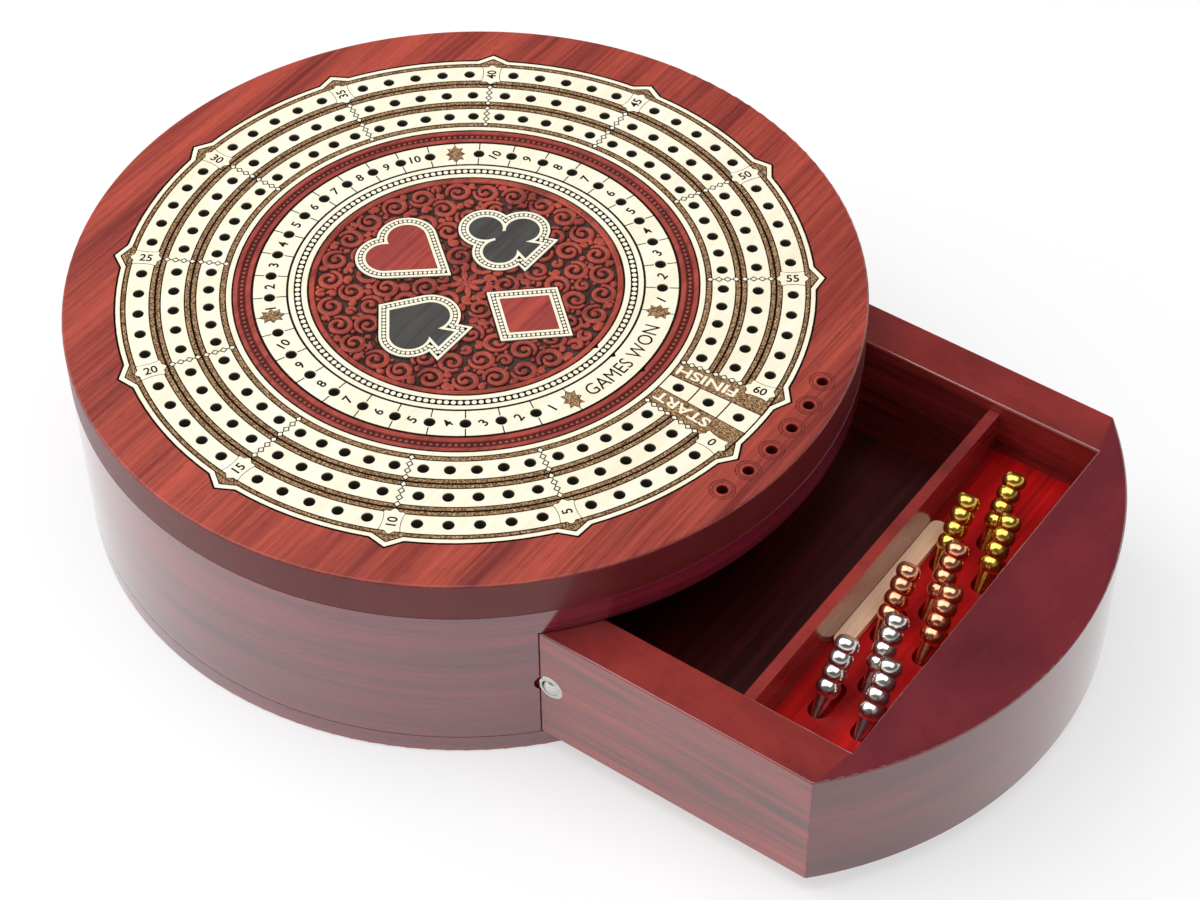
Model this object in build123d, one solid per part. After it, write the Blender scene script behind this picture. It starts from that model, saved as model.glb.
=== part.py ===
from build123d import *
from math import acos, asin, atan2, cos, degrees, hypot, radians, sin, sqrt
import os

# A round cribbage box with a drawer. Millimetres, +Z up. The origin is the centre of the drum's foot
# and +X is the way the drawer opens. The drawer is modelled pulled out by DRAWER_TRAVEL.

# --- Suits inlaid in the medallion. "Up" on a suit is -X on the drum, "right" is +Y. ---
SUIT_BORDER_WIDTH = 3.1
INLAY_GAP = 0.1
HEART_POINT = 10.3
HEART_LENGTH = 15.0
HEART_LOBE_OFFSET = 5.0
HEART_LOBE_RADIUS = 5.6
CLUB_DISTANCE = 21.5
CLUB_LOBE_RADIUS = 4.85
CLUB_LOBE_OFFSET = 5.55
CLUB_TOP_LOBE = 9.2
CLUB_HUB_HEIGHT = 2.6
CLUB_HUB_RADIUS = 2.6
CLUB_FOOT = 7.75
DIAMOND_DISTANCE = 22.3
DIAMOND_HALF_LENGTH = 10.4
DIAMOND_HALF_WIDTH = 9.2
SPADE_DISTANCE = 21.5
SPADE_POINT = 10.7
SPADE_LOBE_OFFSET = 4.75
SPADE_LOBE_RADIUS = 5.5
SPADE_FOOT = 9.4
STEM_HALF_FOOT = 3.6
STEM_HEIGHT = 8.2
STEM_FLARE = 0.38

# --- Rings of the playing face, from the medallion outwards ---
MEDALLION_MARGIN = 7.52
MEDALLION_BORDER_WIDTH = 5.9
SCORE_RING_WIDTH = 10.0
BEAD_RING_WIDTH = 5.55
TRACK_EDGE = 6.7
TRACK_PITCH = 9.9
RIM_MARGIN = 14.75
POINT_HEIGHT = 2.85
POINT_HALF_WIDTH = 4.8
INLAY_THICKNESS = 3.0
CARVING_DEPTH = 1.0

# --- Peg holes ---
HOLE_DIAMETER = 3.3
HOLE_DEPTH = 9.0
TRACK_COUNT = 3
GROUP_COUNT = 12
HOLES_PER_GROUP = 5
START_HALF_ANGLE = 7.35
TRACK_HOLE_STEPS = (5.65, 5.51, 5.12)
SCORE_HOLES = 10
SCORE_SETS = ((78.1, 10.05), (180.0, 9.26), (281.9, 10.05))
SPARE_HOLES = 6
SPARE_HOLE_STEP = 5.34

# --- Drum ---
BASE_THICKNESS = 6.5
ROOF_THICKNESS = 8.3
TOP_THICKNESS = 12.7
RIM_ROUNDING = 0.6
SEAM_BEVEL = 0.25

# --- Pegs: lengths along a peg's own axis ---
PEG_LEAN = 42.0
BEAD_DIAMETER = 6.9
WAIST_DIAMETER = 5.4
BEAD_PITCH = 4.2
BEAD_COUNT = 4
PEG_CAP_RADIUS = 2.4
PEG_NECK_RADIUS = 2.35
PEG_SHANK_RADIUS = 1.5
PEG_TIP_RADIUS = 1.2
PEG_NECK_LENGTH = 7.1
PEG_TIP_LENGTH = 4.1
PEG_SEATED_LENGTH = 6.4
PEG_CLEARANCE = 0.1
PEG_ROOF_GAP = 0.6

# --- Peg rack: three rows of slots, one slot of each row for each colour of peg ---
ROW_PITCH = 6.65
SLOT_WEB = 0.65
SLOT_LENGTH = 14.3
SLOT_GROUP_GAP = 2.6
SLOT_DEPTH = 7.5
SLOT_SHIFT = -2.5
SEAT_INSET = 2.6
ROW_COUNT = 3
PEG_COLOURS = ("silver", "copper", "gold")

# --- Drawer ---
DRAWER_TRAVEL = 85.0
DRAWER_WIDTH = 157.2
DRAWER_HEIGHT = 40.8
SIDE_CLEARANCE = 0.35
FLOOR_CLEARANCE = 0.3
ROOF_CLEARANCE = 0.4
END_CLEARANCE = 0.5
SIDE_THICKNESS = 14.3
FRONT_WALL = 8.7
BACK_THICKNESS = 12.0
BOTTOM_THICKNESS = 4.0
CARD_BAY_LENGTH = 91.6
DIVIDER_THICKNESS = 3.3
DIVIDER_DROP = 3.6
CORNER_ROUNDING = 1.0
OUTER_EDGE_ROUNDING = 0.5
INNER_EDGE_ROUNDING = 0.8
PLATE_LENGTH = 54.4
PLATE_WIDTH = 5.2
PLATE_THICKNESS = 2.0
PLATE_GAP = 0.1
PLATE_SHIFT = 2.8
PLATE_TO_PEG = 0.85
PEG_FRONT_MARGIN = 4.55

# --- Ball catch in the drawer's near side ---
CATCH_TO_MOUTH = 3.0
BALL_RADIUS = 3.5
BALL_PROTRUSION = 1.25
BALL_CLEARANCE = 0.05
GROOVE_CLEARANCE = 0.15
BARREL_WALL = 0.4
BARREL_LIP = 0.2
BARREL_FLOOR = 0.8
BARREL_FIT = 0.02
CATCH_WEB = 2.5
SPRING_WALL = 0.7
SPRING_SIDE_GAP = 1.0

# --- Worked out from the sizes above ---
MEDALLION_RADIUS = DIAMOND_DISTANCE + DIAMOND_HALF_LENGTH * (
    1 + SUIT_BORDER_WIDTH * hypot(DIAMOND_HALF_LENGTH, DIAMOND_HALF_WIDTH)
    / (DIAMOND_HALF_LENGTH * DIAMOND_HALF_WIDTH)
) + MEDALLION_MARGIN
MEDALLION_BORDER_RADIUS = MEDALLION_RADIUS + MEDALLION_BORDER_WIDTH
SCORE_RING_RADIUS = MEDALLION_BORDER_RADIUS + SCORE_RING_WIDTH
BEAD_RING_RADIUS = SCORE_RING_RADIUS + BEAD_RING_WIDTH
TRACK_RADII = [BEAD_RING_RADIUS + TRACK_EDGE + TRACK_PITCH * i for i in range(TRACK_COUNT)]
TRACK_RING_RADIUS = TRACK_RADII[-1] + TRACK_EDGE
DRUM_RADIUS = TRACK_RING_RADIUS + RIM_MARGIN
SCORE_HOLE_RADIUS = (MEDALLION_BORDER_RADIUS + SCORE_RING_RADIUS) / 2
SPARE_HOLE_RADIUS = (TRACK_RING_RADIUS + DRUM_RADIUS) / 2
GROUP_ANGLE = (360 - 2 * START_HALF_ANGLE) / GROUP_COUNT

BAY_HEIGHT = FLOOR_CLEARANCE + DRAWER_HEIGHT + ROOF_CLEARANCE
BAY_HALF_WIDTH = DRAWER_WIDTH / 2 + SIDE_CLEARANCE
BODY_TOP = BASE_THICKNESS + BAY_HEIGHT + ROOF_THICKNESS
FACE_HEIGHT = BODY_TOP + TOP_THICKNESS
INLAY_BOTTOM = FACE_HEIGHT - INLAY_THICKNESS

BEAD_RADIUS = BEAD_DIAMETER / 2
WAIST_RADIUS = WAIST_DIAMETER / 2
SLOT_WIDTH = ROW_PITCH - SLOT_WEB
COLOUR_PITCH = 2 * SLOT_LENGTH + SLOT_GROUP_GAP
SLOTS_START = SLOT_SHIFT - (len(PEG_COLOURS) * COLOUR_PITCH - SLOT_GROUP_GAP) / 2
SHANK_END = PEG_TIP_LENGTH - PEG_SEATED_LENGTH
NECK_END = SHANK_END + PEG_NECK_LENGTH
FIRST_BEAD = NECK_END + BEAD_PITCH / 2
LAST_BEAD = FIRST_BEAD + (BEAD_COUNT - 1) * BEAD_PITCH
PEG_END = LAST_BEAD + BEAD_PITCH / 2
PEG_RISE = max(
    LAST_BEAD * cos(radians(PEG_LEAN)) + BEAD_RADIUS * sin(radians(PEG_LEAN)),
    PEG_END * cos(radians(PEG_LEAN)) + PEG_CAP_RADIUS * sin(radians(PEG_LEAN)),
)

DRAWER_BOTTOM = BASE_THICKNESS + FLOOR_CLEARANCE
DRAWER_RIM = DRAWER_BOTTOM + DRAWER_HEIGHT
PANEL_TOP = DRAWER_BOTTOM + BOTTOM_THICKNESS
RACK_TOP = DRAWER_RIM - PEG_ROOF_GAP - PEG_RISE
HALF_WIDTH = DRAWER_WIDTH / 2
INNER_HALF_WIDTH = HALF_WIDTH - SIDE_THICKNESS
PEG_BAY_LENGTH = (
    PLATE_GAP + PLATE_WIDTH + PLATE_TO_PEG + (ROW_COUNT - 1) * ROW_PITCH + BEAD_DIAMETER + PEG_FRONT_MARGIN
)
DRAWER_APEX = DRUM_RADIUS + DRAWER_TRAVEL
PEG_BAY_FRONT = DRAWER_TRAVEL + sqrt(DRUM_RADIUS**2 - INNER_HALF_WIDTH**2) - FRONT_WALL
DIVIDER_FACE = PEG_BAY_FRONT - PEG_BAY_LENGTH
CARD_BAY_FRONT = DIVIDER_FACE - DIVIDER_THICKNESS
CARD_BAY_BACK = CARD_BAY_FRONT - CARD_BAY_LENGTH
DRAWER_BACK = CARD_BAY_BACK - BACK_THICKNESS
DRAWER_LENGTH = DRAWER_APEX - DRAWER_BACK
DRAWER_CORNER = DRAWER_TRAVEL + sqrt(DRUM_RADIUS**2 - HALF_WIDTH**2)
BAY_END = DRUM_RADIUS - DRAWER_LENGTH - END_CLEARANCE
FIRST_ROW = DIVIDER_FACE + PLATE_GAP + PLATE_WIDTH + PLATE_TO_PEG + BEAD_RADIUS

CATCH_X = sqrt(DRUM_RADIUS**2 - HALF_WIDTH**2) + CATCH_TO_MOUTH
CATCH_HEIGHT = DRAWER_BOTTOM + DRAWER_HEIGHT / 2
BALL_DEPTH = BALL_RADIUS - BALL_PROTRUSION
CAVITY_RADIUS = BALL_RADIUS + BALL_CLEARANCE
BARREL_RADIUS = CAVITY_RADIUS + BARREL_WALL
BARREL_LENGTH = SIDE_THICKNESS - CATCH_WEB
GROOVE_RADIUS = BALL_RADIUS + GROOVE_CLEARANCE
SPRING_RADIUS = CAVITY_RADIUS - SPRING_SIDE_GAP
SPRING_LENGTH = BARREL_LENGTH - BARREL_FLOOR - BALL_DEPTH - BALL_RADIUS - BALL_PROTRUSION


def polar(radius, angle):
    """Return the point at a radius and an angle in degrees."""
    return (radius * cos(radians(angle)), radius * sin(radians(angle)))


def slab(face, bottom, top):
    """Return a flat face raised between two heights."""
    return Pos(0, 0, bottom) * extrude(face, amount=top - bottom)


def block(low, high):
    """Return the box between two corners."""
    size = [high[i] - low[i] for i in range(3)]
    return Pos(*low) * Box(*size, align=(Align.MIN, Align.MIN, Align.MIN))


# --- Suit outlines; growth widens a fill to its border's edge ---


def teardrop(lobe, radius, apex):
    """Return a disc and the two straight flanks that run from it to a point."""
    across = apex[0] - lobe[0]
    along = apex[1] - lobe[1]
    toward = atan2(along, across)
    spread = acos(radius / hypot(across, along))
    left, right = [polar(radius, degrees(toward + side * spread)) for side in (1, -1)]
    kite = [lobe, (lobe[0] + left[0], lobe[1] + left[1]), apex, (lobe[0] + right[0], lobe[1] + right[1])]
    return Pos(*lobe) * Circle(radius) + make_face(Polyline(*kite, close=True))


def pointed_pair(apex, lobe_height, lobe_offset, radius, growth):
    """Return two round lobes side by side with one point that both run into."""
    reach = hypot(apex - lobe_height, lobe_offset)
    flank = asin(radius / reach) + asin(lobe_offset / reach)
    direction = 1 if apex > lobe_height else -1
    tip = (0, apex + direction * growth / sin(flank))
    lobes = [(side * lobe_offset, lobe_height) for side in (1, -1)]
    return teardrop(lobes[0], radius + growth, tip) + teardrop(lobes[1], radius + growth, tip)


def stem(foot, growth):
    """Return a club's or spade's flared stem, which stands on its foot."""
    half_foot = STEM_HALF_FOOT + growth * (hypot(1, STEM_FLARE) + STEM_FLARE)
    low = -foot - growth
    high = -foot + STEM_HEIGHT
    half_top = half_foot - STEM_FLARE * (high - low)
    corners = [(-half_foot, low), (half_foot, low), (half_top, high), (-half_top, high)]
    return make_face(Polyline(*corners, close=True))


def heart(growth):
    """Return the heart, whose point is nearest the drum's centre."""
    return pointed_pair(HEART_POINT, HEART_POINT + HEART_LENGTH, HEART_LOBE_OFFSET, HEART_LOBE_RADIUS, growth)


def club(growth):
    """Return the club: three lobes round a hub, on a stem."""
    radius = CLUB_LOBE_RADIUS + growth
    face = Pos(0, CLUB_HUB_HEIGHT) * Circle(CLUB_HUB_RADIUS + growth) + stem(CLUB_FOOT, growth)
    for lobe in [(0, CLUB_TOP_LOBE), (CLUB_LOBE_OFFSET, 0), (-CLUB_LOBE_OFFSET, 0)]:
        face += Pos(*lobe) * Circle(radius)
    return Pos(CLUB_DISTANCE, 0) * face


def diamond(growth):
    """Return the diamond, with its long diagonal along the drawer's way."""
    inset = DIAMOND_HALF_LENGTH * DIAMOND_HALF_WIDTH / hypot(DIAMOND_HALF_LENGTH, DIAMOND_HALF_WIDTH)
    length = DIAMOND_HALF_LENGTH * (1 + growth / inset)
    width = DIAMOND_HALF_WIDTH * (1 + growth / inset)
    corners = [(width, 0), (0, length), (-width, 0), (0, -length)]
    return Pos(0, -DIAMOND_DISTANCE) * make_face(Polyline(*corners, close=True))


def spade(growth):
    """Return the spade: a pointed pair of lobes on a stem."""
    face = pointed_pair(SPADE_POINT, 0, SPADE_LOBE_OFFSET, SPADE_LOBE_RADIUS, growth)
    return Pos(-SPADE_DISTANCE, 0) * (face + stem(SPADE_FOOT, growth))


SUITS = {"heart": heart, "club": club, "diamond": diamond, "spade": spade}


def suit_face(name, growth):
    """Return one suit's outline, turned into the drum's frame."""
    return Rot(0, 0, 90) * SUITS[name](growth)


# --- Peg holes of the playing face ---


def track_holes():
    """Return the centres of the track holes, with one start hole for each track."""
    points = [polar(radius, 0) for radius in TRACK_RADII]
    for radius, step in zip(TRACK_RADII, TRACK_HOLE_STEPS):
        for group in range(GROUP_COUNT):
            middle = START_HALF_ANGLE + (group + 0.5) * GROUP_ANGLE
            for hole in range(HOLES_PER_GROUP):
                points.append(polar(radius, middle + (hole - (HOLES_PER_GROUP - 1) / 2) * step))
    return points


def score_holes():
    """Return the centres of the holes that count games won."""
    points = []
    for middle, step in SCORE_SETS:
        for hole in range(SCORE_HOLES):
            points.append(polar(SCORE_HOLE_RADIUS, middle + (hole - (SCORE_HOLES - 1) / 2) * step))
    return points


def spare_holes():
    """Return the centres of the spare peg holes in the rim before the start."""
    first = -(SPARE_HOLES - 1) / 2 * SPARE_HOLE_STEP
    return [polar(SPARE_HOLE_RADIUS, first + hole * SPARE_HOLE_STEP) for hole in range(SPARE_HOLES)]


def peg_holes(centres):
    """Return the drills for peg holes, each from the playing face down."""
    drill = Cylinder(HOLE_DIAMETER / 2, HOLE_DEPTH, align=(Align.CENTER, Align.CENTER, Align.MAX))
    return [Pos(x, y, FACE_HEIGHT) * drill for x, y in centres]


# --- Playing face ---


def pointed_disc(radius):
    """Return the track inlay's outline: a disc with a point at each end of a group of holes."""
    half_base = degrees(asin(POINT_HALF_WIDTH / radius))
    face = Circle(radius)
    for marker in range(GROUP_COUNT + 1):
        angle = START_HALF_ANGLE + marker * GROUP_ANGLE
        corners = [(0, 0), polar(radius, angle - half_base), polar(radius + POINT_HEIGHT, angle)]
        corners.append(polar(radius, angle + half_base))
        face += make_face(Polyline(*corners, close=True))
    return face


def inlay_ring(inner_radius, outer_radius):
    """Return one flush ring of the playing face."""
    return slab(Circle(outer_radius - INLAY_GAP) - Circle(inner_radius), INLAY_BOTTOM, FACE_HEIGHT)


def make_track_inlay():
    """Return the pale ring with the three hole tracks."""
    face = pointed_disc(TRACK_RING_RADIUS - INLAY_GAP) - Circle(BEAD_RING_RADIUS)
    return slab(face, INLAY_BOTTOM, FACE_HEIGHT) - peg_holes(track_holes())


def make_score_inlay():
    """Return the pale ring with the holes for games won."""
    return inlay_ring(MEDALLION_BORDER_RADIUS, SCORE_RING_RADIUS) - peg_holes(score_holes())


def make_medallion():
    """Return the carved disc's ground, which lies below the face, with a pocket for each suit."""
    disc = slab(Circle(MEDALLION_RADIUS - INLAY_GAP), INLAY_BOTTOM, FACE_HEIGHT - CARVING_DEPTH)
    for name in SUITS:
        disc -= slab(suit_face(name, SUIT_BORDER_WIDTH + INLAY_GAP), INLAY_BOTTOM, FACE_HEIGHT)
    return disc


def make_suit_border(name):
    """Return the pale band round one suit."""
    band = suit_face(name, SUIT_BORDER_WIDTH) - suit_face(name, INLAY_GAP)
    return slab(band, INLAY_BOTTOM, FACE_HEIGHT)


def make_suit_fill(name):
    """Return one suit's smooth middle."""
    return slab(suit_face(name, 0), INLAY_BOTTOM, FACE_HEIGHT)


# --- Drum ---


def make_base_plate():
    """Return the round board under the drum, which is the drawer's floor."""
    plate = slab(Circle(DRUM_RADIUS), 0, BASE_THICKNESS)
    plate = fillet(plate.edges().group_by(Axis.Z)[0], RIM_ROUNDING)
    return chamfer(plate.edges().group_by(Axis.Z)[-1], SEAM_BEVEL)


def make_drum_body():
    """Return the thick block with the drawer's bay, and the groove that the catch ball runs in."""
    body = slab(Circle(DRUM_RADIUS), BASE_THICKNESS, BODY_TOP)
    body = chamfer(body.edges().group_by(Axis.Z)[-1], SEAM_BEVEL)
    bay_top = BASE_THICKNESS + BAY_HEIGHT
    body -= block((BAY_END, -BAY_HALF_WIDTH, BASE_THICKNESS), (DRUM_RADIUS, BAY_HALF_WIDTH, bay_top))
    groove_start = CATCH_X - DRAWER_TRAVEL - GROOVE_RADIUS
    groove = Cylinder(GROOVE_RADIUS, DRUM_RADIUS - groove_start, align=(Align.CENTER, Align.CENTER, Align.MIN))
    return body - Pos(groove_start, BALL_DEPTH - HALF_WIDTH, CATCH_HEIGHT) * Rot(0, 90, 0) * groove


def make_top_board():
    """Return the playing board with the recess for its inlays and all its peg holes."""
    board = slab(Circle(DRUM_RADIUS), BODY_TOP, FACE_HEIGHT)
    board = fillet(board.edges().group_by(Axis.Z)[-1], RIM_ROUNDING)
    board -= slab(pointed_disc(TRACK_RING_RADIUS), INLAY_BOTTOM, FACE_HEIGHT)
    return board - peg_holes(track_holes() + score_holes() + spare_holes())


# --- Drawer ---


def drawer_frame():
    """Return the drawer's walls as one ring: front, sides and back."""
    outline = Pos(DRAWER_TRAVEL, 0) * Circle(DRUM_RADIUS)
    outline &= Pos(DRAWER_BACK, 0) * Rectangle(DRAWER_LENGTH, DRAWER_WIDTH, align=(Align.MIN, Align.CENTER))
    frame = slab(outline, DRAWER_BOTTOM, DRAWER_RIM)
    frame = fillet(frame.edges().filter_by(Axis.Z).group_by(Axis.X)[-1], CORNER_ROUNDING)
    frame = fillet(frame.edges().group_by(Axis.Z)[-1], OUTER_EDGE_ROUNDING)
    low = (CARD_BAY_BACK, -INNER_HALF_WIDTH, DRAWER_BOTTOM)
    frame -= block(low, (PEG_BAY_FRONT, INNER_HALF_WIDTH, DRAWER_RIM))
    mouth = [edge for edge in frame.edges().group_by(Axis.Z)[-1] if is_mouth_edge(edge)]
    return fillet(mouth, INNER_EDGE_ROUNDING)


def is_mouth_edge(edge):
    """Return whether a rim edge runs round the drawer's inside."""
    middle = edge.center()
    within_length = CARD_BAY_BACK - INLAY_GAP < middle.X < PEG_BAY_FRONT + INLAY_GAP
    return within_length and abs(middle.Y) < INNER_HALF_WIDTH + INLAY_GAP


def mitre_point(side):
    """Return a point past the drawer's corner, on the line from its inner to its outer corner."""
    run = DRAWER_CORNER - PEG_BAY_FRONT
    rise = SIDE_THICKNESS
    return (PEG_BAY_FRONT + 2 * run, side * (INNER_HALF_WIDTH + 2 * rise))


def prism(corners):
    """Return an upright block over the whole height of the drawer."""
    return slab(make_face(Polyline(*corners, close=True)), DRAWER_BOTTOM, DRAWER_RIM)


def make_drawer_front(frame):
    """Return the front, cut off at the mitres."""
    near, far = mitre_point(-1), mitre_point(1)
    reach = DRAWER_APEX + SIDE_THICKNESS
    corners = [(PEG_BAY_FRONT, -INNER_HALF_WIDTH), near, (reach, near[1]), (reach, far[1]), far]
    return frame & prism(corners + [(PEG_BAY_FRONT, INNER_HALF_WIDTH)])


def make_drawer_side(frame, side):
    """Return the near (-1) or far (1) side, which runs to the front's mitre."""
    mitre = mitre_point(side)
    inner = side * INNER_HALF_WIDTH
    return frame & prism([(DRAWER_BACK, inner), (PEG_BAY_FRONT, inner), mitre, (DRAWER_BACK, mitre[1])])


def make_drawer_back(frame):
    """Return the back, which stands between the sides."""
    low = (DRAWER_BACK, -INNER_HALF_WIDTH, DRAWER_BOTTOM)
    return frame & block(low, (CARD_BAY_BACK, INNER_HALF_WIDTH, DRAWER_RIM))


def make_drawer_bottom():
    """Return the panel that fills the frame's foot."""
    low = (CARD_BAY_BACK, -INNER_HALF_WIDTH, DRAWER_BOTTOM)
    return block(low, (PEG_BAY_FRONT, INNER_HALF_WIDTH, PANEL_TOP))


def make_divider():
    """Return the thin wall between the cards and the pegs."""
    low = (CARD_BAY_FRONT, -INNER_HALF_WIDTH, PANEL_TOP)
    return block(low, (DIVIDER_FACE, INNER_HALF_WIDTH, DRAWER_RIM - DIVIDER_DROP))


def make_plate():
    """Return the pale strip that lies on the rack beside the divider."""
    face = Rot(0, 0, 90) * SlotOverall(PLATE_LENGTH, PLATE_WIDTH)
    centre = (DIVIDER_FACE + PLATE_GAP + PLATE_WIDTH / 2, PLATE_SHIFT)
    return slab(Pos(*centre) * face, RACK_TOP, RACK_TOP + PLATE_THICKNESS)


# --- Pegs and their rack ---


def slot_starts():
    """Return, for each colour and row, the near end of its slot on the slot's centre line."""
    starts = []
    for colour in range(len(PEG_COLOURS)):
        for row in range(ROW_COUNT):
            shift = SLOT_LENGTH if row % 2 else 0
            starts.append((FIRST_ROW + row * ROW_PITCH, SLOTS_START + colour * COLOUR_PITCH + shift))
    return starts


def lean_at(start):
    """Return where a peg's axis crosses the rack, leaning towards the far side."""
    return Pos(start[0], start[1] + SEAT_INSET, RACK_TOP) * Rot(-PEG_LEAN, 0, 0)


def turn(profile):
    """Return the solid that a closed profile of (radius, height) edges sweeps round its axis."""
    return revolve(Plane.XZ * make_face(profile), Axis.Z)


def peg_solid():
    """Return one peg upright, with height 0 where it meets the rack's surface."""
    points = [(0, -PEG_SEATED_LENGTH), (PEG_TIP_RADIUS, -PEG_SEATED_LENGTH), (PEG_SHANK_RADIUS, SHANK_END)]
    points.append((PEG_NECK_RADIUS, NECK_END))
    start = (WAIST_RADIUS, NECK_END)
    profile = Polyline(*points, start)
    for bead in range(BEAD_COUNT):
        centre = FIRST_BEAD + bead * BEAD_PITCH
        end = (WAIST_RADIUS, centre + BEAD_PITCH / 2)
        if bead == BEAD_COUNT - 1:
            end = (PEG_CAP_RADIUS, PEG_END)
        profile += ThreePointArc(start, (BEAD_RADIUS, centre), end)
        start = end
    return turn(profile + Polyline(start, (0, PEG_END), points[0]))


def seat_drill():
    """Return the seat's drill: a peg's foot with running clearance, up through the slot's mouth."""
    foot = -PEG_SEATED_LENGTH - PEG_CLEARANCE
    points = [(0, foot), (PEG_TIP_RADIUS + PEG_CLEARANCE, foot)]
    points.append((PEG_SHANK_RADIUS + PEG_CLEARANCE, SHANK_END))
    points.append((PEG_NECK_RADIUS + PEG_CLEARANCE, NECK_END))
    return turn(Polyline(*points, (0, NECK_END), close=True))


def make_peg_rack():
    """Return the raised floor of the peg bay, with a slot and a leaning seat for each peg."""
    low = (DIVIDER_FACE, -INNER_HALF_WIDTH, PANEL_TOP)
    rack = block(low, (PEG_BAY_FRONT, INNER_HALF_WIDTH, RACK_TOP))
    slot = Rot(0, 0, 90) * SlotOverall(SLOT_LENGTH, SLOT_WIDTH)
    for start in slot_starts():
        rack -= slab(Pos(start[0], start[1] + SLOT_LENGTH / 2) * slot, RACK_TOP - SLOT_DEPTH, RACK_TOP)
        rack -= lean_at(start) * seat_drill()
    return rack


def make_pegs():
    """Return the pegs by name, three of each colour."""
    names = [f"peg_{colour}_{row + 1}" for colour in PEG_COLOURS for row in range(ROW_COUNT)]
    peg = peg_solid()
    return {name: lean_at(start) * peg for name, start in zip(names, slot_starts())}


# --- Ball catch: built with its mouth at height 0, then laid into the near side's face ---


def at_catch(piece):
    """Return a catch piece in its place, with its mouth in the near side's outer face."""
    return Pos(CATCH_X, -HALF_WIDTH, CATCH_HEIGHT) * Rot(-90, 0, 0) * piece


def plug(radius, bottom, top):
    """Return an upright cylinder between two depths."""
    return Pos(0, 0, bottom) * Cylinder(radius, top - bottom, align=(Align.CENTER, Align.CENTER, Align.MIN))


def catch_bore():
    """Return the bore for the barrel."""
    return at_catch(plug(BARREL_RADIUS + BARREL_FIT, 0, BARREL_LENGTH))


def make_catch_barrel():
    """Return the cup that keeps the ball in: its mouth is the narrower and stands a little proud."""
    lip = Cone(BARREL_RADIUS - BARREL_WALL, BARREL_RADIUS, BARREL_LIP, align=(Align.CENTER, Align.CENTER, Align.MAX))
    barrel = plug(BARREL_RADIUS, 0, BARREL_LENGTH) + lip
    barrel -= plug(CAVITY_RADIUS, BALL_DEPTH, BARREL_LENGTH - BARREL_FLOOR)
    return at_catch(barrel - Pos(0, 0, BALL_DEPTH) * Sphere(CAVITY_RADIUS))


def make_catch_ball():
    """Return the ball, standing out of the drawer's side."""
    return at_catch(Pos(0, 0, BALL_DEPTH) * Sphere(BALL_RADIUS))


def make_catch_spring():
    """Return the spring as a sleeve of its pressed length, on the barrel's floor."""
    floor = BARREL_LENGTH - BARREL_FLOOR
    sleeve = plug(SPRING_RADIUS, floor - SPRING_LENGTH, floor)
    return at_catch(sleeve - plug(SPRING_RADIUS - SPRING_WALL, floor - SPRING_LENGTH, floor))


def make_drum():
    """Return the pieces of the drum by name."""
    pieces = {"base_plate": make_base_plate(), "drum_body": make_drum_body(), "top_board": make_top_board()}
    pieces["track_inlay"] = make_track_inlay()
    pieces["bead_ring"] = inlay_ring(SCORE_RING_RADIUS, BEAD_RING_RADIUS)
    pieces["score_inlay"] = make_score_inlay()
    pieces["medallion_border"] = inlay_ring(MEDALLION_RADIUS, MEDALLION_BORDER_RADIUS)
    pieces["medallion"] = make_medallion()
    for name in SUITS:
        pieces[f"{name}_border"] = make_suit_border(name)
        pieces[f"{name}_fill"] = make_suit_fill(name)
    return pieces


def make_drawer():
    """Return the pieces of the drawer and its catch by name."""
    frame = drawer_frame()
    pieces = {"drawer_front": make_drawer_front(frame)}
    pieces["drawer_side_near"] = make_drawer_side(frame, -1) - catch_bore()
    pieces["drawer_side_far"] = make_drawer_side(frame, 1)
    pieces["drawer_back"] = make_drawer_back(frame)
    pieces["drawer_bottom"] = make_drawer_bottom()
    pieces["divider"] = make_divider()
    pieces["peg_rack"] = make_peg_rack()
    pieces["plate"] = make_plate()
    pieces["catch_barrel"] = make_catch_barrel()
    pieces["catch_spring"] = make_catch_spring()
    pieces["catch_ball"] = make_catch_ball()
    return pieces


os.makedirs("parts", exist_ok=True)
for node, piece in {**make_drum(), **make_drawer(), **make_pegs()}.items():
    export_step(piece, f"parts/{node}.step")
    print(node, round(piece.volume))
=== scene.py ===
"""Round cribbage box with a drawer of metal pegs: finishes, inlay work and carving.

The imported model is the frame. Sizes here are millimetres in the frame's own axes and turn
into metres when a piece is placed.
"""

from __future__ import annotations

import logging
import math
from collections.abc import Iterable, Sequence
from dataclasses import dataclass, field
from enum import Enum

import bmesh
import bpy
import numpy as np
from bmesh.types import BMEdge, BMesh, BMVert
from bpy.types import ID, Material, Node, NodeSocket, NodeTree, Object
from mathutils import Matrix, Vector


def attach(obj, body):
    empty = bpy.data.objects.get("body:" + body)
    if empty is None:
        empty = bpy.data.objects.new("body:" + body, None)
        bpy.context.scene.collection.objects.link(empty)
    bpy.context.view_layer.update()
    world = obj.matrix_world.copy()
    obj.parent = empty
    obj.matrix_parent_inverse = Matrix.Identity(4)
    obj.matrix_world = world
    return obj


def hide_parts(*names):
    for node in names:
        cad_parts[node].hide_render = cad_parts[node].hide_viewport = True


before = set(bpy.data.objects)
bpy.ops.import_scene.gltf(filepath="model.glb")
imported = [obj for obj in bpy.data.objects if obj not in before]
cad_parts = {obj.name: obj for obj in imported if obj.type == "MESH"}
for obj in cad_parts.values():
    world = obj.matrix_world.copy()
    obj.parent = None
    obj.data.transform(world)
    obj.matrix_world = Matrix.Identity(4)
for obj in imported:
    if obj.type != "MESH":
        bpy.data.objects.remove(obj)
LOG = logging.getLogger("cribbage_box")
MM = 0.001
FACE = 69.0  # height of the playing face
WELD = 2e-6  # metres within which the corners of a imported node's triangles are one
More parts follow.
